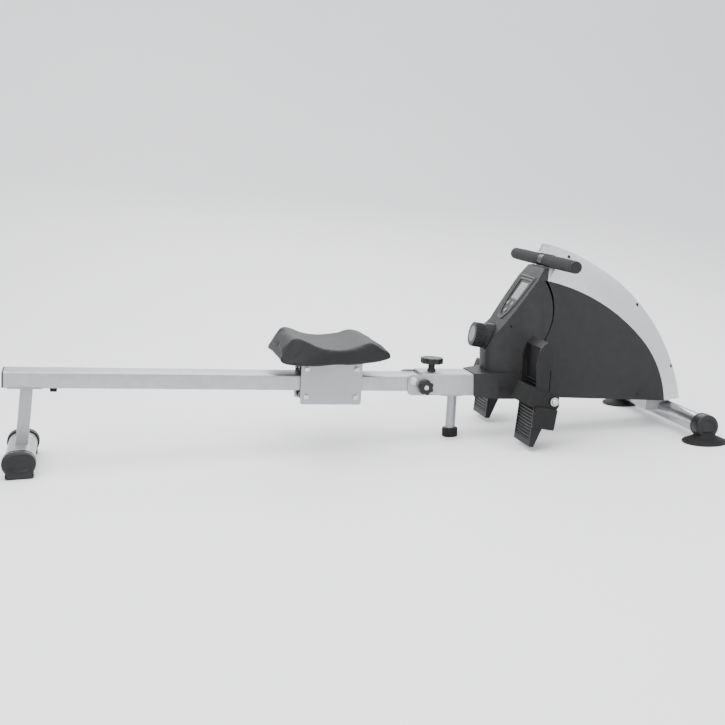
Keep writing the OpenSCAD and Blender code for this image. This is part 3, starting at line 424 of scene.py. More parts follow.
webbing = surface("webbing", {
    "color": (0.012, 0.012, 0.012), "shade": (0.018, 0.018, 0.018), "specular": 0.1, "roughness": 0.78, "sheen": 0.3,
    "threads": 260.0, "threadColor": (0.030, 0.030, 0.030), "bump": 0.7, "bumpDepth": 0.0006})
rollerPlastic = surface("rollerPlastic", {
    "color": (0.0075, 0.0075, 0.0075), "shade": (0.0150, 0.0150, 0.0150), "specular": 0.35, "roughness": 0.36,
    "grainSize": 900.0, "patchSize": 40.0, "bump": 0.1})
lcdGlass = surface("lcdGlass", {
    "color": (0.15, 0.165, 0.15), "shade": (0.12, 0.135, 0.12), "specular": 0.3, "roughness": 0.30, "coat": 0.1,
    "coatRoughness": 0.2, "grainSize": 4000.0, "patchSize": 20.0, "bump": 0.02})
print("materials built")


# geometry node trees

def openTree(name, inputs):
    tree = bpy.data.node_groups.new(name, "GeometryNodeTree")
    tree.interface.new_socket(name="Geometry", in_out="INPUT", socket_type="NodeSocketGeometry")
    tree.interface.new_socket(name="Geometry", in_out="OUTPUT", socket_type="NodeSocketGeometry")
    for label, kind, value in inputs:
        socket = tree.interface.new_socket(name=label, in_out="INPUT", socket_type=kind)
        if value is not None:
            socket.default_value = value
    tree.interface.new_socket(name="Material", in_out="INPUT", socket_type="NodeSocketMaterial")
    return tree, tree.nodes.new("NodeGroupInput"), tree.nodes.new("NodeGroupOutput")


def closeTree(tree, start, end, geometry):
    realize = tree.nodes.new("GeometryNodeRealizeInstances")
    paint = tree.nodes.new("GeometryNodeSetMaterial")
    wire(tree, (geometry, realize.inputs["Geometry"]), (realize.outputs["Geometry"], paint.inputs["Geometry"]),
         (start.outputs["Material"], paint.inputs["Material"]), (paint.outputs["Geometry"], end.inputs["Geometry"]))
    return tree


def runTree(name, tree, values, material, place=Matrix.Identity(4), base=None, angle=35):
    mesh = base or bpy.data.meshes.new(name)
    piece = bpy.data.objects.new(name, mesh)
    addToScene(piece)
    modifier = piece.modifiers.new(tree.name, "NODES")
    modifier.node_group = tree
    sockets = {item.name: item.identifier for item in tree.interface.items_tree
               if item.item_type == "SOCKET" and item.in_out == "INPUT"}
    for label, value in {**values, "Material": material}.items():
        modifier[sockets[label]] = value
    applyAll(piece)
    bm = bmesh.new()
    bm.from_mesh(piece.data)
    bpy.data.objects.remove(piece)
    bmesh.ops.remove_doubles(bm, verts=bm.verts, dist=1e-6)
    facesOut(bm)
    bm.transform(place)
    return newPiece(name, bm, material, angle)


def boxTubeTree():
    # bar of a rounded oblong section that runs from 0 up Z
    tree, start, end = openTree("boxTube", [
        ("Width", "NodeSocketFloat", 0.08), ("Height", "NodeSocketFloat", 0.04),
        ("Corner", "NodeSocketFloat", 0.004), ("Length", "NodeSocketFloat", 1.0)])
    oblong = tree.nodes.new("GeometryNodeCurvePrimitiveQuadrilateral")
    fillet = tree.nodes.new("GeometryNodeFilletCurve")
    fillet.mode = "POLY"
    setInputs(fillet, {"Count": 6})
    fill = tree.nodes.new("GeometryNodeFillCurve")
    fill.mode = "NGONS"
    rise = tree.nodes.new("ShaderNodeCombineXYZ")
    extrude = tree.nodes.new("GeometryNodeExtrudeMesh")
    setInputs(extrude, {"Individual": False, "Offset Scale": 1.0})
    flip = tree.nodes.new("GeometryNodeFlipFaces")
    join = tree.nodes.new("GeometryNodeJoinGeometry")
    wire(tree, (start.outputs["Width"], oblong.inputs["Width"]), (start.outputs["Height"], oblong.inputs["Height"]),
         (oblong.outputs["Curve"], fillet.inputs["Curve"]), (start.outputs["Corner"], fillet.inputs["Radius"]),
         (fillet.outputs["Curve"], fill.inputs["Curve"]), (fill.outputs["Mesh"], extrude.inputs["Mesh"]),
         (start.outputs["Length"], rise.inputs["Z"]), (rise.outputs["Vector"], extrude.inputs["Offset"]),
         (fill.outputs["Mesh"], flip.inputs["Mesh"]), (extrude.outputs["Mesh"], join.inputs["Geometry"]),
         (flip.outputs["Mesh"], join.inputs["Geometry"]))
    return closeTree(tree, start, end, join.outputs["Geometry"])


def scatterTree():
    # one item on each point, its Z turned to the point's aim
    tree, start, end = openTree("itemsOnPoints", [("Item", "NodeSocketObject", None)])
    item = tree.nodes.new("GeometryNodeObjectInfo")
    aim = tree.nodes.new("GeometryNodeInputNamedAttribute")
    aim.data_type = "FLOAT_VECTOR"
    aim.inputs["Name"].default_value = "aim"
    turn = tree.nodes.new("FunctionNodeAlignRotationToVector")
    turn.axis = "Z"
    place = tree.nodes.new("GeometryNodeInstanceOnPoints")
    wire(tree, (start.outputs["Item"], item.inputs["Object"]), (start.outputs["Geometry"], place.inputs["Points"]),
         (item.outputs["Geometry"], place.inputs["Instance"]), (aim.outputs["Attribute"], turn.inputs["Vector"]),
         (turn.outputs["Rotation"], place.inputs["Rotation"]))
    return closeTree(tree, start, end, place.outputs["Instances"])


def ringTree():
    # one item repeated round a circle, its X turned outwards
    tree, start, end = openTree("itemsInRing", [
        ("Item", "NodeSocketObject", None), ("Count", "NodeSocketInt", 24), ("Radius", "NodeSocketFloat", 0.03)])
    item = tree.nodes.new("GeometryNodeObjectInfo")
    circle = tree.nodes.new("GeometryNodeMeshCircle")
    spot = tree.nodes.new("GeometryNodeInputPosition")
    turn = tree.nodes.new("FunctionNodeAlignRotationToVector")
    turn.axis = "X"
    turn.pivot_axis = "Z"
    place = tree.nodes.new("GeometryNodeInstanceOnPoints")
    wire(tree, (start.outputs["Item"], item.inputs["Object"]), (start.outputs["Count"], circle.inputs["Vertices"]),
         (start.outputs["Radius"], circle.inputs["Radius"]), (circle.outputs["Mesh"], place.inputs["Points"]),
         (item.outputs["Geometry"], place.inputs["Instance"]), (spot.outputs["Position"], turn.inputs["Vector"]),
         (turn.outputs["Rotation"], place.inputs["Rotation"]))
    return closeTree(tree, start, end, place.outputs["Instances"])


def rowTree():
    # one item repeated along a straight row
    tree, start, end = openTree("itemsInRow", [
        ("Item", "NodeSocketObject", None), ("Count", "NodeSocketInt", 8), ("Start", "NodeSocketVector", None),
        ("Step", "NodeSocketVector", None)])
    item = tree.nodes.new("GeometryNodeObjectInfo")
    line = tree.nodes.new("GeometryNodeMeshLine")
    place = tree.nodes.new("GeometryNodeInstanceOnPoints")
    wire(tree, (start.outputs["Item"], item.inputs["Object"]), (start.outputs["Count"], line.inputs["Count"]),
         (start.outputs["Start"], line.inputs["Start Location"]), (start.outputs["Step"], line.inputs["Offset"]),
         (line.outputs["Mesh"], place.inputs["Points"]), (item.outputs["Geometry"], place.inputs["Instance"]))
    return closeTree(tree, start, end, place.outputs["Instances"])


boxTube, onPoints, inRing, inRow = boxTubeTree(), scatterTree(), ringTree(), rowTree()
print("node trees built")


def repeat(name, tree, item, values, material, place=Matrix.Identity(4), base=None):
    piece = runTree(name, tree, {**values, "Item": item}, material, place, base)
    bpy.data.objects.remove(item)
    return piece


def bar(name, size, material, edge=0.0006):
    bm = bmesh.new()
    bmesh.ops.create_cube(bm, size=1.0)
    bmesh.ops.scale(bm, vec=size, verts=bm.verts)
    return bevelEdges(newPiece(name, bm, material), edge)


def socketHead(name, look, material):
    # domed head with a hexagon socket, standing on Z = 0
    radius, height, sides = look["radius"], look["height"], 28
    bm = bmesh.new()
    outline = [(radius, 0), (radius, 0.35 * height), (0.93 * radius, 0.68 * height), (0.76 * radius, 0.92 * height),
               (0.58 * radius, height)]
    turns = [2 * math.pi * k / sides for k in range(sides)]
    rings = [[bm.verts.new((r * math.cos(turn), r * math.sin(turn), z)) for turn in turns] for r, z in outline]
    loft(bm, rings, closed=True)
    bm.faces.new(reversed(rings[0]))
    inner = []
    for z in (height, 0.4 * height):
        inner.append([])
        for turn in turns:
            hexagon = math.cos(math.pi / 6) / math.cos(turn % (math.pi / 3) - math.pi / 6)
            reach = look["socket"] * radius * hexagon
            inner[-1].append(bm.verts.new((reach * math.cos(turn), reach * math.sin(turn), z)))
    loft(bm, [rings[-1]] + inner, closed=True)
    bm.faces.new(inner[-1])
    return newPiece(name, bm, material)


def spots(name, places):
    # places are (position, direction) pairs
    mesh = bpy.data.meshes.new(name)
    mesh.from_pydata([place[0] for place in places], [], [])
    aims = mesh.attributes.new("aim", "FLOAT_VECTOR", "POINT")
    for datum, place in zip(aims.data, places):
        datum.vector = place[1]
    return mesh


# camera

def aimCamera():
    look = {"place": (-0.681, -3.011, 0.774), "yaw": 12.77, "pitch": 10.28, "roll": -0.86, "lens": 59.29}
    yaw, pitch, roll = (math.radians(look[turn]) for turn in ("yaw", "pitch", "roll"))
    ahead = Vector((math.sin(yaw) * math.cos(pitch), math.cos(yaw) * math.cos(pitch), -math.sin(pitch)))
    right = Vector((math.cos(yaw), -math.sin(yaw), 0))
    up = right.cross(ahead)
    camera = bpy.data.objects.new("mainCamera", bpy.data.cameras.new("mainCamera"))
    camera.data.lens = look["lens"]
    camera.data.sensor_width = 36
    camera.matrix_world = axesAt(Vector(look["place"]), right * math.cos(roll) + up * math.sin(roll),
                                 up * math.cos(roll) - right * math.sin(roll), -ahead)
    addToScene(camera)
    bpy.context.scene.camera = camera


aimCamera()


# CAD nodes that keep their shape and get soft edges

dressings = {
    "rail_tongue": (silverPaint, 0.0006), "rear_leg": (silverPaint, 0.0008), "rear_leg_bolts": (zincPlate, 0.0006),
    "rear_stabiliser": (silverPaint, 0.0004), "rail_bumper": (softRubber, 0.0012),
    "fold_pivot_bolt": (zincPlate, 0.0010), "lock_knob": (blackPlastic, 0.0022), "side_knob": (blackPlastic, 0.0016),
    "mid_leg": (silverPaint, 0.0008), "mid_leg_foot": (softRubber, 0.0030),
    "stabiliser_saddle": (silverPaint, 0.0010), "front_stabiliser": (chromePlate, 0.0),
    "right_side_cover": (charcoal, 0.0010), "left_side_cover": (charcoal, 0.0010), "arch_shroud": (archSilver, 0.0),
    "base_cover": (charcoal, 0.0008), "housing_screws": (blackPlastic, 0.0),
    "handle_cradle": (archSilver, 0.0008), "console_bezel": (blackPlastic, 0.0010),
    "button_left": (greyPlastic, 0.0004), "button_right": (greyPlastic, 0.0004),
    "button_lower": (greyPlastic, 0.0004), "tension_dial": (blackPlastic, 0.0008),
    "tension_knob": (blackPlastic, 0.0008), "handle_bar": (blackPlastic, 0.0), "handle_yoke": (blackPlastic, 0.0010),
    "drive_frame": (castIron, 0.0006), "drive_axles": (zincPlate, 0.0006),
    "strap_spool": (blackPlastic, 0.0006), "recoil_spring": (bareSteel, 0.0), "drive_belt": (softRubber, 0.0),
    "flywheel_pulley": (zincPlate, 0.0005), "flywheel": (castIron, 0.0012), "guide_roller": (rollerPlastic, 0.0006),
    "brake_arm": (zincPlate, 0.0006), "brake_magnets": (castIron, 0.0005), "brake_cable": (softRubber, 0.0),
    "footrest_shaft": (zincPlate, 0.0012), "seat_carriage": (silverPaint, 0.0008),
    "carriage_axles": (zincPlate, 0.0010), "upper_rear_rollers": (rollerPlastic, 0.0015),
    "upper_front_rollers": (rollerPlastic, 0.0015), "lower_rear_rollers": (rollerPlastic, 0.0012),
    "lower_front_rollers": (rollerPlastic, 0.0012), "nose_cover": (charcoal, 0.0),
    "right_footrest": (pedalPlastic, 0.0012), "left_footrest": (pedalPlastic, 0.0012),
    "right_foot_strap": (softRubber, 0.0005), "left_foot_strap": (softRubber, 0.0005),
    "console_display": (lcdGlass, 0.0004),
}
for node, (material, edge) in dressings.items():
    dressNode(node, material, edge)
print("CAD nodes dressed")


# pull strap, stretched between the guide roller and the handle

strap = newPiece("strap_web", cadCopy("pull_strap"), webbing)
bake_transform(strap)
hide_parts("pull_strap")


# rail, beam and their plug

railStart, railNose = span("rail", alongRail)
beamLow, beamHigh = span("main_beam", offRail)
beamStart, beamEnd = span("main_beam", alongRail)


def sectionBar(name, node, start, end, look, material, body, replaced=()):
    low, high = span(node, offRail)
    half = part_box(node)[1].y
    place = axesAt(pivot + alongRail * start + offRail * (low + high) / 2, across, offRail, alongRail)
    piece = runTree(name, boxTube, {"Width": 2 * half, "Height": high - low, "Corner": look["corner"],
                                    "Length": end - start}, material, place, angle=40)
    return settle(piece, body, replaced)


tubeLook = {"corner": 0.0045, "plugFrom": 0.004, "plugGap": 0.0001}
sectionBar("rail_tube", "rail", railStart, railNose, tubeLook, silverPaint, "rail_section", ["rail"])
sectionBar("rail_plug_face", "rail_end_plug", railStart - tubeLook["plugFrom"], railStart - tubeLook["plugGap"],
           tubeLook, blackPlastic, "rail_section", ["rail_end_plug"])


def mainBeam():
    look = {"boxFrom": 0.024, "corner": 0.0045, "earThick": 0.0038, "earProud": 0.0004, "earBack": 0.028,
            "earDrop": 0.003, "earCurve": 0.010, "earNick": 0.003}
    sectionBar("beam_tube", "main_beam", look["boxFrom"], beamEnd, look, silverPaint, "frame",
               ["main_beam"])
    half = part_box("main_beam")[1].y
    reach = look["boxFrom"] + look["earBack"]
    top = beamHigh - look["earDrop"]
    curve, nick = look["earCurve"], look["earNick"]
    outline = [(beamStart, beamLow + curve), (beamStart + nick, beamLow + nick), (beamStart + curve, beamLow),
               (reach, beamLow), (reach, top), (beamStart + curve, top), (beamStart + nick, top - nick),
               (beamStart, top - curve)]
    ears = []
    for side in (-1, 1):
        bm = bmesh.new()
        rows = [[bm.verts.new(pivot + alongRail * s + offRail * h + across * side * y) for s, h in outline]
                for y in (half - look["earThick"], half + look["earProud"])]
        loft(bm, rows, closed=True)
        bm.faces.new(rows[0])
        bm.faces.new(reversed(rows[1]))
        facesOut(bm)
        ears.append(bevelEdges(newPiece("beamEar", bm, silverPaint), 0.0008))
    settle(joinMeshes("beam_ears", ears), "frame")


mainBeam()
print("rail and beam built")


# end caps and feet

def frontCap(side):
    look = {"radius": 0.032, "corner": 0.007, "bore": 0.0255, "innerFace": 0.227}
    low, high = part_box("front_end_caps")
    middle = Vector(((low.x + high.x) / 2, 0, (low.z + high.z) / 2))
    inner = look["innerFace"]
    length = high.y - inner
    r, corner, bore = look["radius"], look["corner"], look["bore"]
    outline = [(bore, 0.0), (r - 0.002, 0.0), (r - 0.0005, 0.0015), (r - 0.0005, 0.006), (r - 0.0022, 0.0072),
               (r - 0.0022, 0.0088), (r - 0.0002, 0.010)]
    outline += [(r - corner + corner * math.cos(t), length - corner + corner * math.sin(t))
                for t in [math.pi / 2 * k / 6 for k in range(7)]]
    outline += [(0.020, length), (0.0192, length - 0.0012), (0.0160, length - 0.0012), (0.0152, length - 0.0004),
                (0.0060, length - 0.0004), (0.0, length - 0.0010)]
    outline = [(0.0, 0.002), (bore, 0.002)] + outline
    place = aimAt(middle + across * side * inner, across * side)
    return turned("frontCap", outline, place, blackPlastic, 64)


caps = joinMeshes("front_caps", [frontCap(side) for side in (-1, 1)])
settle(caps, "frame", ["front_end_caps"])


def frontFoot(side):
    look = {"radius": 0.058}
    low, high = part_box("front_feet")
    r = look["radius"]
    profile = [(0, 0), (0.93 * r, 0), (0.985 * r, 0.0010), (r, 0.0026), (0.985 * r, 0.0042), (0.92 * r, 0.0058),
               (0.90 * r, 0.0052), (0.88 * r, 0.0066), (0.80 * r, 0.0092), (0.70 * r, 0.0118), (0.60 * r, 0.0142),
               (0.52 * r, 0.0168), (0.46 * r, 0.0200), (0.42 * r, 0.0240), (0.40 * r, 0.0280), (0, 0.0280)]
    middle = Vector(((low.x + high.x) / 2, side * (high.y - r), 0))
    return turned("frontFoot", profile, Matrix.Translation(middle), softRubber, 72)


settle(joinMeshes("front_foot_pads", [frontFoot(side) for side in (-1, 1)]), "frame",
       ["front_feet"])


def stadium(width, height, inset, steps=14):
    # closed slot outline in X and Z
    r = height / 2 - inset
    reach = (width - height) / 2
    turns = [-math.pi / 2 + math.pi * k / steps for k in range(steps + 1)]
    return ([(reach + r * math.cos(t), r * math.sin(t)) for t in turns]
            + [(-reach - r * math.cos(t), -r * math.sin(t)) for t in turns])


def rearCap(side):
    look = {"width": 0.082, "height": 0.060, "deep": 0.031, "tubeHeight": 0.036, "corner": 0.008,
            "block": (0.062, 0.0305, 0.016), "blockDrop": 0.028, "blockEdge": 0.003,
            "rib": (0.0022, 0.0300, 0.0100), "ribs": 5, "ribStep": 0.01625, "ribDrop": 0.0285, "ribEdge": 0.0006}
    low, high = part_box("rear_end_caps")
    outer = high.y
    inner = outer - look["deep"]
    halfway = side * (inner + outer) / 2
    middle = Vector(((low.x + high.x) / 2, 0, look["tubeHeight"]))
    bm = bmesh.new()
    corner = look["corner"]
    stations = [(inner, 0.0045), (inner, 0.0010), (inner + 0.0012, 0.0002), (inner + 0.006, 0.0),
                (inner + 0.0072, 0.0012), (inner + 0.0088, 0.0012), (inner + 0.010, 0.0)]  # place, inset
    stations += [(outer - corner + corner * math.sin(t), corner - corner * math.cos(t))
                 for t in [math.pi / 2 * k / 6 for k in range(7)]]
    stations += [(outer, 0.014), (outer - 0.0015, 0.0155), (outer - 0.0015, 0.024)]
    rows = [[bm.verts.new(middle + Vector((x, side * y, z)))
             for x, z in stadium(look["width"], look["height"], inset)] for y, inset in stations]
    loft(bm, rows, closed=True)
    bm.faces.new(rows[0])
    bm.faces.new(rows[-1])
    facesOut(bm)
    cap = newPiece("rearCap", bm, blackPlastic)
    block = bar("rearBlock", look["block"], blackPlastic, look["blockEdge"])
    block.data.transform(Matrix.Translation(middle + Vector((0, halfway, -look["blockDrop"]))))
    rib = bar("rearRib", look["rib"], blackPlastic, look["ribEdge"])
    step, count = look["ribStep"], look["ribs"]
    ribs = repeat("rearRibs", inRow, rib,
                  {"Count": count, "Start": (-step * (count - 1) / 2, 0, 0), "Step": (step, 0, 0)},
                  blackPlastic, Matrix.Translation(middle + Vector((0, halfway, -look["ribDrop"]))))
    return [cap, block, ribs]


rearParts = rearCap(-1) + rearCap(1)
settle(joinMeshes("rear_caps", rearParts), "rail_section", ["rear_end_caps"])
print("caps and feet built")


# handle grips

def handleGrip(side):
    look = {"radius": 0.016, "bore": 0.0112, "innerEnd": 0.0203, "round": 0.003, "swell": 0.0005, "steps": 12}
    low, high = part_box("handle_grips")
    middle = (low + high) / 2
    inner = look["innerEnd"]
    length = high.y - inner
    r, bore, edge, steps = look["radius"], look["bore"], look["round"], look["steps"]
    outline = [(bore, 0.0), (r - edge, 0.0), (r - 0.3 * edge, 0.3 * edge), (r, edge)]
    outline += [(r + look["swell"] * math.sin(math.pi * k / steps), edge + (length - 2 * edge) * k / steps)
                for k in range(1, steps)]
    outline += [(r, length - edge), (r - 0.3 * edge, length - 0.3 * edge), (r - edge, length), (bore, length)]
    return turned("grip", outline, aimAt(Vector((middle.x, side * inner, middle.z)), across * side), gripFoam)


def handleCap(side):
    look = {"deep": 0.005}
    low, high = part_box("handle_end_caps")
    middle = (low + high) / 2
    outline = [(0, 0), (0.0150, 0), (0.0159, 0.0008), (0.0160, 0.0030), (0.0155, 0.0042), (0.0140, 0.0050),
               (0.0118, 0.0050), (0.0113, 0.0044), (0.0100, 0.0044), (0.0095, 0.0050), (0.0062, 0.0050),
               (0.0058, 0.0042), (0.0, 0.0040)]
    foot = Vector((middle.x, side * (high.y - look["deep"]), middle.z))
    return turned("cap", outline, aimAt(foot, across * side), blackPlastic)


settle(joinMeshes("foam_grips", [handleGrip(side) for side in (-1, 1)]), "handle",
       ["handle_grips"])
settle(joinMeshes("grip_caps", [handleCap(side) for side in (-1, 1)]), "handle",
       ["handle_end_caps"])


# screw heads

def screwHeads():
    # one head over each separate screw of the node
    look = {"radius": 0.0042, "height": 0.0018, "sunk": 0.0006, "socket": 0.45}
    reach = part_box("housing_screws")[1].y - look["sunk"]
    places = []
    bm = bmesh.new()
    bm.from_mesh(nodes["housing_screws"].data)
    bmesh.ops.remove_doubles(bm, verts=bm.verts, dist=1e-5)
    seen = set()
    for vertex in bm.verts:
        if vertex.index in seen:
            continue
        island, stack = [], [vertex]
        seen.add(vertex.index)
        while stack:
            here = stack.pop()
            island.append(here.co.copy())
            for edge in here.link_edges:
                other = edge.other_vert(here)
                if other.index not in seen:
                    seen.add(other.index)
                    stack.append(other)
        middle = sum(island, Vector()) / len(island)
        side = 1 if middle.y > 0 else -1
        places.append((Vector((middle.x, side * reach, middle.z)), Vector((0, side, 0))))
    bm.free()
    head = socketHead("screwHead", look, blackPlastic)
    return repeat("panel_screws", onPoints, head, {}, blackPlastic, base=spots("screwSpots", places))


settle(screwHeads(), "frame")


def boltHeads(name, node, centres, body, look):
    # socket heads on both outer faces of a node's bolts
    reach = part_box(node)[1].y - look["sunk"]
    places = [(Vector((x, side * reach, z)), Vector((0, side, 0))) for x, z in centres for side in (-1, 1)]
    head = socketHead(name + "Head", look, zincPlate)
    settle(repeat(name, onPoints, head, {}, zincPlate, base=spots(name + "Spots", places)), body)


rollerSpots = [joints[name]["pos_m"] for name in
               ("upper_rear_roll", "upper_front_roll", "lower_rear_roll", "lower_front_roll")]
boltHeads("carriage_heads", "carriage_axles", [(x, z) for x, y, z in rollerSpots], "seat", {
    "radius": 0.0060, "height": 0.0022, "sunk": 0.0004, "socket": 0.42})
boltHeads("pivot_heads", "fold_pivot_bolt", [(pivot.x, pivot.z)], "frame", {
    "radius": 0.0086, "height": 0.0028, "sunk": 0.0004, "socket": 0.42})


def ontoSurface(node, point):
    mesh = nodes[node].data
    tree = BVHTree.FromPolygons([vertex.co for vertex in mesh.vertices],
                                [list(face.vertices) for face in mesh.polygons])
    return tree.find_nearest(Vector(point))[:2]  # place and normal


def archScrews():
    look = {"near": ((0.5604, 0.0433, 0.4775), (0.7641, 0.0460, 0.3420), (0.8720, 0.0460, 0.1657)),
            "radius": 0.0048, "height": 0.0014, "sunk": 0.0004, "socket": 0.5}
    places = []
    for x, y, z in look["near"]:
        for side in (-1, 1):
            place, normal = ontoSurface("arch_shroud", (x, side * y, z))
            places.append((place - normal * look["sunk"], normal))
    head = socketHead("archScrew", look, blackPlastic)
    return repeat("arch_screws", onPoints, head, {}, blackPlastic, base=spots("archSpots", places))


settle(archScrews(), "frame")


def archFace():
    # silver end of the arch above the handle, as wide as the arch at each height
    look = {"top": (0.5135, 0.5070, 0.0325), "low": (0.5080, 0.4860, 0.0415), "thick": 0.003}  # x, z, half width
    bm = bmesh.new()
    (x1, z1, half1), (x2, z2, half2) = look["top"], look["low"]
    rows = [[bm.verts.new(corner) for corner in ((x2 + step, -half2, z2), (x2 + step, half2, z2),
                                                 (x1 + step, half1, z1), (x1 + step, -half1, z1))]
            for step in (0, look["thick"])]
    loft(bm, rows, closed=True)
    bm.faces.new(rows[0])
    bm.faces.new(rows[1])
    facesOut(bm)
    return bevelEdges(newPiece("arch_face", bm, archSilver), 0.0008)


settle(archFace(), "frame")


# console rim, tension knob's disc, side knob's centre

consoleSeat = {"middle": (0.4206, 0, 0.3673), "up": (0.6088, 0, 0.7934)}
consoleUp = Vector(consoleSeat["up"])
consoleFrame = axesAt(Vector(consoleSeat["middle"]), consoleUp, across, Vector((-consoleUp.z, 0, consoleUp.x)))


def shieldOutline(long, half):
    # straight top edge, sides that draw in to a round foot
    look = {"steps": 22, "shoulder": 0.95, "foot": 0.8}
    turns = [math.pi / 2 * k / look["steps"] for k in range(look["steps"])]
    side = [(long / 2 - long * math.sin(t) ** look["shoulder"], half * math.cos(t) ** look["foot"]) for t in turns]
    side.append((-long / 2, 0.0))
    return side + [(x, -y) for x, y in reversed(side[:-1])]


def consoleRim():
    look = {"long": 0.142, "half": 0.0535, "shift": 0.002,
            "steps": ((0.0, -0.0030), (0.0, 0.0004), (0.0012, 0.0022), (0.0030, 0.0030), (0.0052, 0.0032),
                      (0.0070, 0.0024), (0.0080, 0.0010), (0.0084, -0.0030))}  # shrink, height
    bm = bmesh.new()
    rows = []
    for shrink, height in look["steps"]:
        outline = shieldOutline(look["long"] - 2 * shrink, look["half"] - shrink)
        rows.append([bm.verts.new((x + look["shift"], y, height)) for x, y in outline])
    loft(bm, rows, closed=True)
    loft(bm, [rows[-1], rows[0]], closed=True)
    facesOut(bm)
    bm.transform(consoleFrame)
    return newPiece("console_rim", bm, blackPlastic)


settle(consoleRim(), "frame")

knobAxis = Vector(joints["tension_turn"]["axis"])
knobBase = Vector(joints["tension_turn"]["pos_m"])


def tensionDisc():
    look = {"lift": 0.0448}
    outline = [(0.0, -0.0020), (0.0208, -0.0020), (0.0208, 0.0006), (0.0200, 0.0014), (0.0184, 0.0012),
               (0.0176, 0.0004), (0.0080, 0.0001), (0.0, 0.0)]
    return turned("tension_disc", outline, aimAt(knobBase + knobAxis * look["lift"], knobAxis), greyPlastic, 56)


def tensionKnurls():
    look = {"rib": (0.0016, 0.0022, 0.0225), "edge": 0.0006, "count": 48, "radius": 0.0321, "lift": 0.0300}
    rib = bar("knurl", look["rib"], blackPlastic, look["edge"])
    return repeat("tension_knurls", inRing, rib, {"Count": look["count"], "Radius": look["radius"]}, blackPlastic,
                  aimAt(knobBase + knobAxis * look["lift"], knobAxis))


settle(tensionDisc(), "tension")
settle(tensionKnurls(), "tension")


def sideKnobCentre():
    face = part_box("side_knob")[0].y
    middle = Vector(joints["side_knob_turn"]["pos_m"])
    outline = [(0, -0.001), (0.0062, -0.001), (0.0062, 0.0010), (0.0054, 0.0020), (0.0030, 0.0026), (0, 0.0028)]
    return turned("side_knob_nut", outline, aimAt(Vector((middle.x, face, middle.z)), -across), zincPlate, 32)


settle(sideKnobCentre(), "side_screw")


# strap tails beside the pedals

def strapTail(side):
    look = {"size": (0.060, 0.0075, 0.054), "edge": 0.0020, "lean": 12, "back": 0.026, "down": 0.042,
            "out": 0.0062, "ridge": (0.054, 0.0010, 0.0022), "ridgeEdge": 0.0004, "ridges": 7,
            "ridgeStep": 0.007, "ridgeOut": 0.0038}
    shaft = Vector(joints["right_foot_tilt"]["pos_m"])
    outer = look["out"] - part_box("right_footrest")[0].y
    place = Matrix.Translation((shaft.x - look["back"], side * outer, shaft.z - look["down"]))
    place = place @ Matrix.Rotation(math.radians(look["lean"]), 4, "Y")
    block = bar("tailBlock", look["size"], softRubber, look["edge"])
    block.data.transform(place)
    ridge = bar("tailRidge", look["ridge"], softRubber, look["ridgeEdge"])
    step, count = look["ridgeStep"], look["ridges"]
    ridges = repeat("tailRidges", inRow, ridge,
                    {"Count": count, "Start": (0, side * look["ridgeOut"], -step * (count - 1) / 2),
                     "Step": (0, 0, step)}, softRubber, place)
    return joinMeshes("strap_tail_" + ("right" if side < 0 else "left"), [block, ridges])


for side, body in ((-1, "right_foot"), (1, "left_foot")):
    settle(strapTail(side), body)
print("fittings built")


# seat, moulded foam under a soft skin

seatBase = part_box("seat_pad")[0].z + 0.008  # where the keys' heights start
seatKeys = {  # mm at each slice: x, height and half width of the top edge, then of the bottom edge
    "topX": (2, 22, 45, 66, 100, 145, 190, 236, 262, 287),
    "topZ": (20, 41, 61, 55, 38, 30, 34, 44, 32, 20),
    "topHalf": (116, 107, 104, 120, 139, 147, 146, 134, 127, 117),
    "lowX": (1, 14, 30, 56, 100, 145, 190, 240, 268, 290),
    "lowZ": (8, 5, 3, 0, -3, -4, -4, -1, 1, 5),
    "lowHalf": (120, 131, 139, 146, 147, 147, 146, 140, 132, 121)}


def seatSlice(u, low):
    # closed slice across the seat, u runs over the keys
    look = {"wing": 0.006, "wingEnd": 6, "flankSteps": 6, "topSteps": 12}
    at = {name: through(list(enumerate(values)), u) / 1000 for name, values in seatKeys.items()}
    wing = look["wing"] * math.sin(math.pi * min(u / look["wingEnd"], 1))
    rise = at["topZ"] - at["lowZ"]
    ring = []
    for side, start, end in ((1, 0, 1), (-1, 1, 0)):
        for k in range(look["flankSteps"]):  # up one flank, down the other
            h = start + (end - start) * k / look["flankSteps"]
            ring.append((side, h, at["lowHalf"] + (at["topHalf"] - at["lowHalf"]) * h))
        for k in range(look["topSteps"]):  # across the top, then back under
            edge = at["topHalf"] if side > 0 else at["lowHalf"]
            ring.append((side * (1 - 2 * k / look["topSteps"]), end, edge))
    points = []
    for spread, h, half in ring:
        y = spread * half
        x = at["lowX"] + (at["topX"] - at["lowX"]) * h
        z = at["lowZ"] + rise * h + (wing * (spread * spread - 0.6) if h > 0.9 else 0)
        points.append(Vector((low.x + x, y, seatBase + z)))
    return points


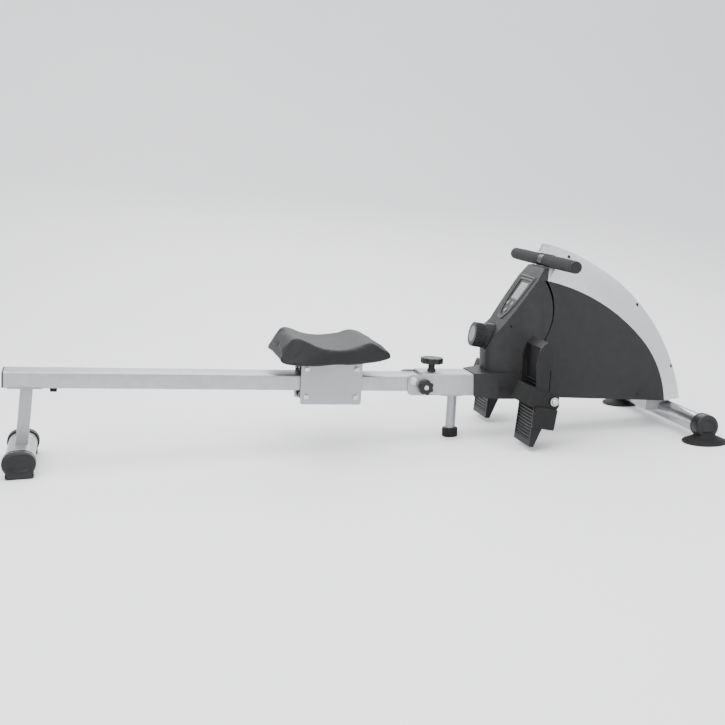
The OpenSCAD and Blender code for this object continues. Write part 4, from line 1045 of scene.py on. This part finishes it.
def seatPad():
    look = {"slices": 45, "voxel": 0.005, "soften": 5, "pressure": 4.0, "quality": 5, "frames": 20, "cap": 0.004,
            "fill": 0.9}
    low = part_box("seat_pad")[0]
    last = len(seatKeys["topX"]) - 1
    bm = bmesh.new()
    rows = [[bm.verts.new(point) for point in seatSlice(last * k / look["slices"], low)]
            for k in range(look["slices"] + 1)]
    loft(bm, rows, closed=True)
    bm.faces.new(rows[0])
    bm.faces.new(rows[-1])
    facesOut(bm)
    pad = newPiece("seat_cushion", bm, seatSkin)
    remesh = pad.modifiers.new("evenMesh", "REMESH")
    remesh.mode = "VOXEL"
    remesh.voxel_size = look["voxel"]
    soften = pad.modifiers.new("softEdges", "SMOOTH")
    soften.iterations = look["soften"]
    soften.factor = 0.5
    applyAll(pad)
    puffUp(pad, look)
    smooth = pad.modifiers.new("smooth", "SUBSURF")
    smooth.levels = smooth.render_levels = 1
    applyAll(pad, 60)
    settle(pad, "seat", ["seat_pad"])


def puffUp(piece, look):
    # the skin swells over the foam, no further than the cap
    rest = [vertex.co.copy() for vertex in piece.data.vertices]
    cloth = piece.modifiers.new("skin", "CLOTH")
    cloth.settings.use_pressure = True
    cloth.settings.uniform_pressure_force = look["pressure"]
    cloth.settings.effector_weights.gravity = 0.0
    cloth.settings.quality = look["quality"]
    cloth.point_cache.frame_start, cloth.point_cache.frame_end = 1, look["frames"]
    for step in range(1, look["frames"] + 1):
        bpy.context.scene.frame_set(step)
    applyAll(piece)
    for vertex, start in zip(piece.data.vertices, rest):
        move = vertex.co - start
        if move.length > look["cap"]:
            vertex.co = start + move.normalized() * look["cap"]
    bpy.context.scene.frame_set(1)


seatPad()
print("seat built")


# lights and floor

def areaLight(name, place, target, size, power):
    light = bpy.data.lights.new(name, "AREA")
    light.shape = "RECTANGLE"
    light.size, light.size_y = size
    light.energy = power
    lamp = bpy.data.objects.new(name, light)
    lamp.location = place
    lamp.rotation_euler = (Vector(target) - Vector(place)).to_track_quat("-Z", "Y").to_euler()
    addToScene(lamp)


def studio():
    lights = {  # place, target, size, watts
        "topSoftbox": ((-0.3, -0.2, 3.4), (0, 0, 0), (5.0, 3.5), 190),
        "keySoftbox": ((-2.6, -2.8, 2.4), (0, 0, 0.3), (1.8, 1.8), 95),
        "frontFill": ((2.6, -2.9, 1.3), (0.4, 0, 0.3), (1.6, 1.6), 40),
        "rearRim": ((0.8, 3.0, 2.0), (0.2, 0, 0.3), (3.0, 1.2), 60)}
    air = {"Color": (0.93, 0.95, 1.0, 1.0), "Strength": 1.35}
    sweep = {"wide": 14.0, "from": -9.0, "start": 2.0, "radius": 4.0, "steps": 24, "top": 10.0}
    for name, setting in lights.items():
        areaLight(name, *setting)
    world = bpy.data.worlds.new("studioAir")
    world.use_nodes = True
    setInputs(world.node_tree.nodes["Background"], air)
    bpy.context.scene.world = world
    floorPaint = surface("floorPaint", {"color": (0.88, 0.88, 0.88), "shade": (0.85, 0.85, 0.85), "roughness": 0.6,
                                        "grainSize": 300.0, "patchSize": 0.6, "bump": 0.02})
    turns = [math.pi / 2 * k / sweep["steps"] for k in range(1, sweep["steps"] + 1)]
    start, r = sweep["start"], sweep["radius"]
    profile = [(sweep["from"], 0.0), (start, 0.0)]  # floor that sweeps up behind
    profile += [(start + r * math.sin(t), r - r * math.cos(t)) for t in turns] + [(start + r, sweep["top"])]
    bm = bmesh.new()
    loft(bm, [[bm.verts.new((x, y, z)) for y, z in profile] for x in (sweep["wide"], -sweep["wide"])])
    facesOut(bm)
    newPiece("floor", bm, floorPaint)


studio()
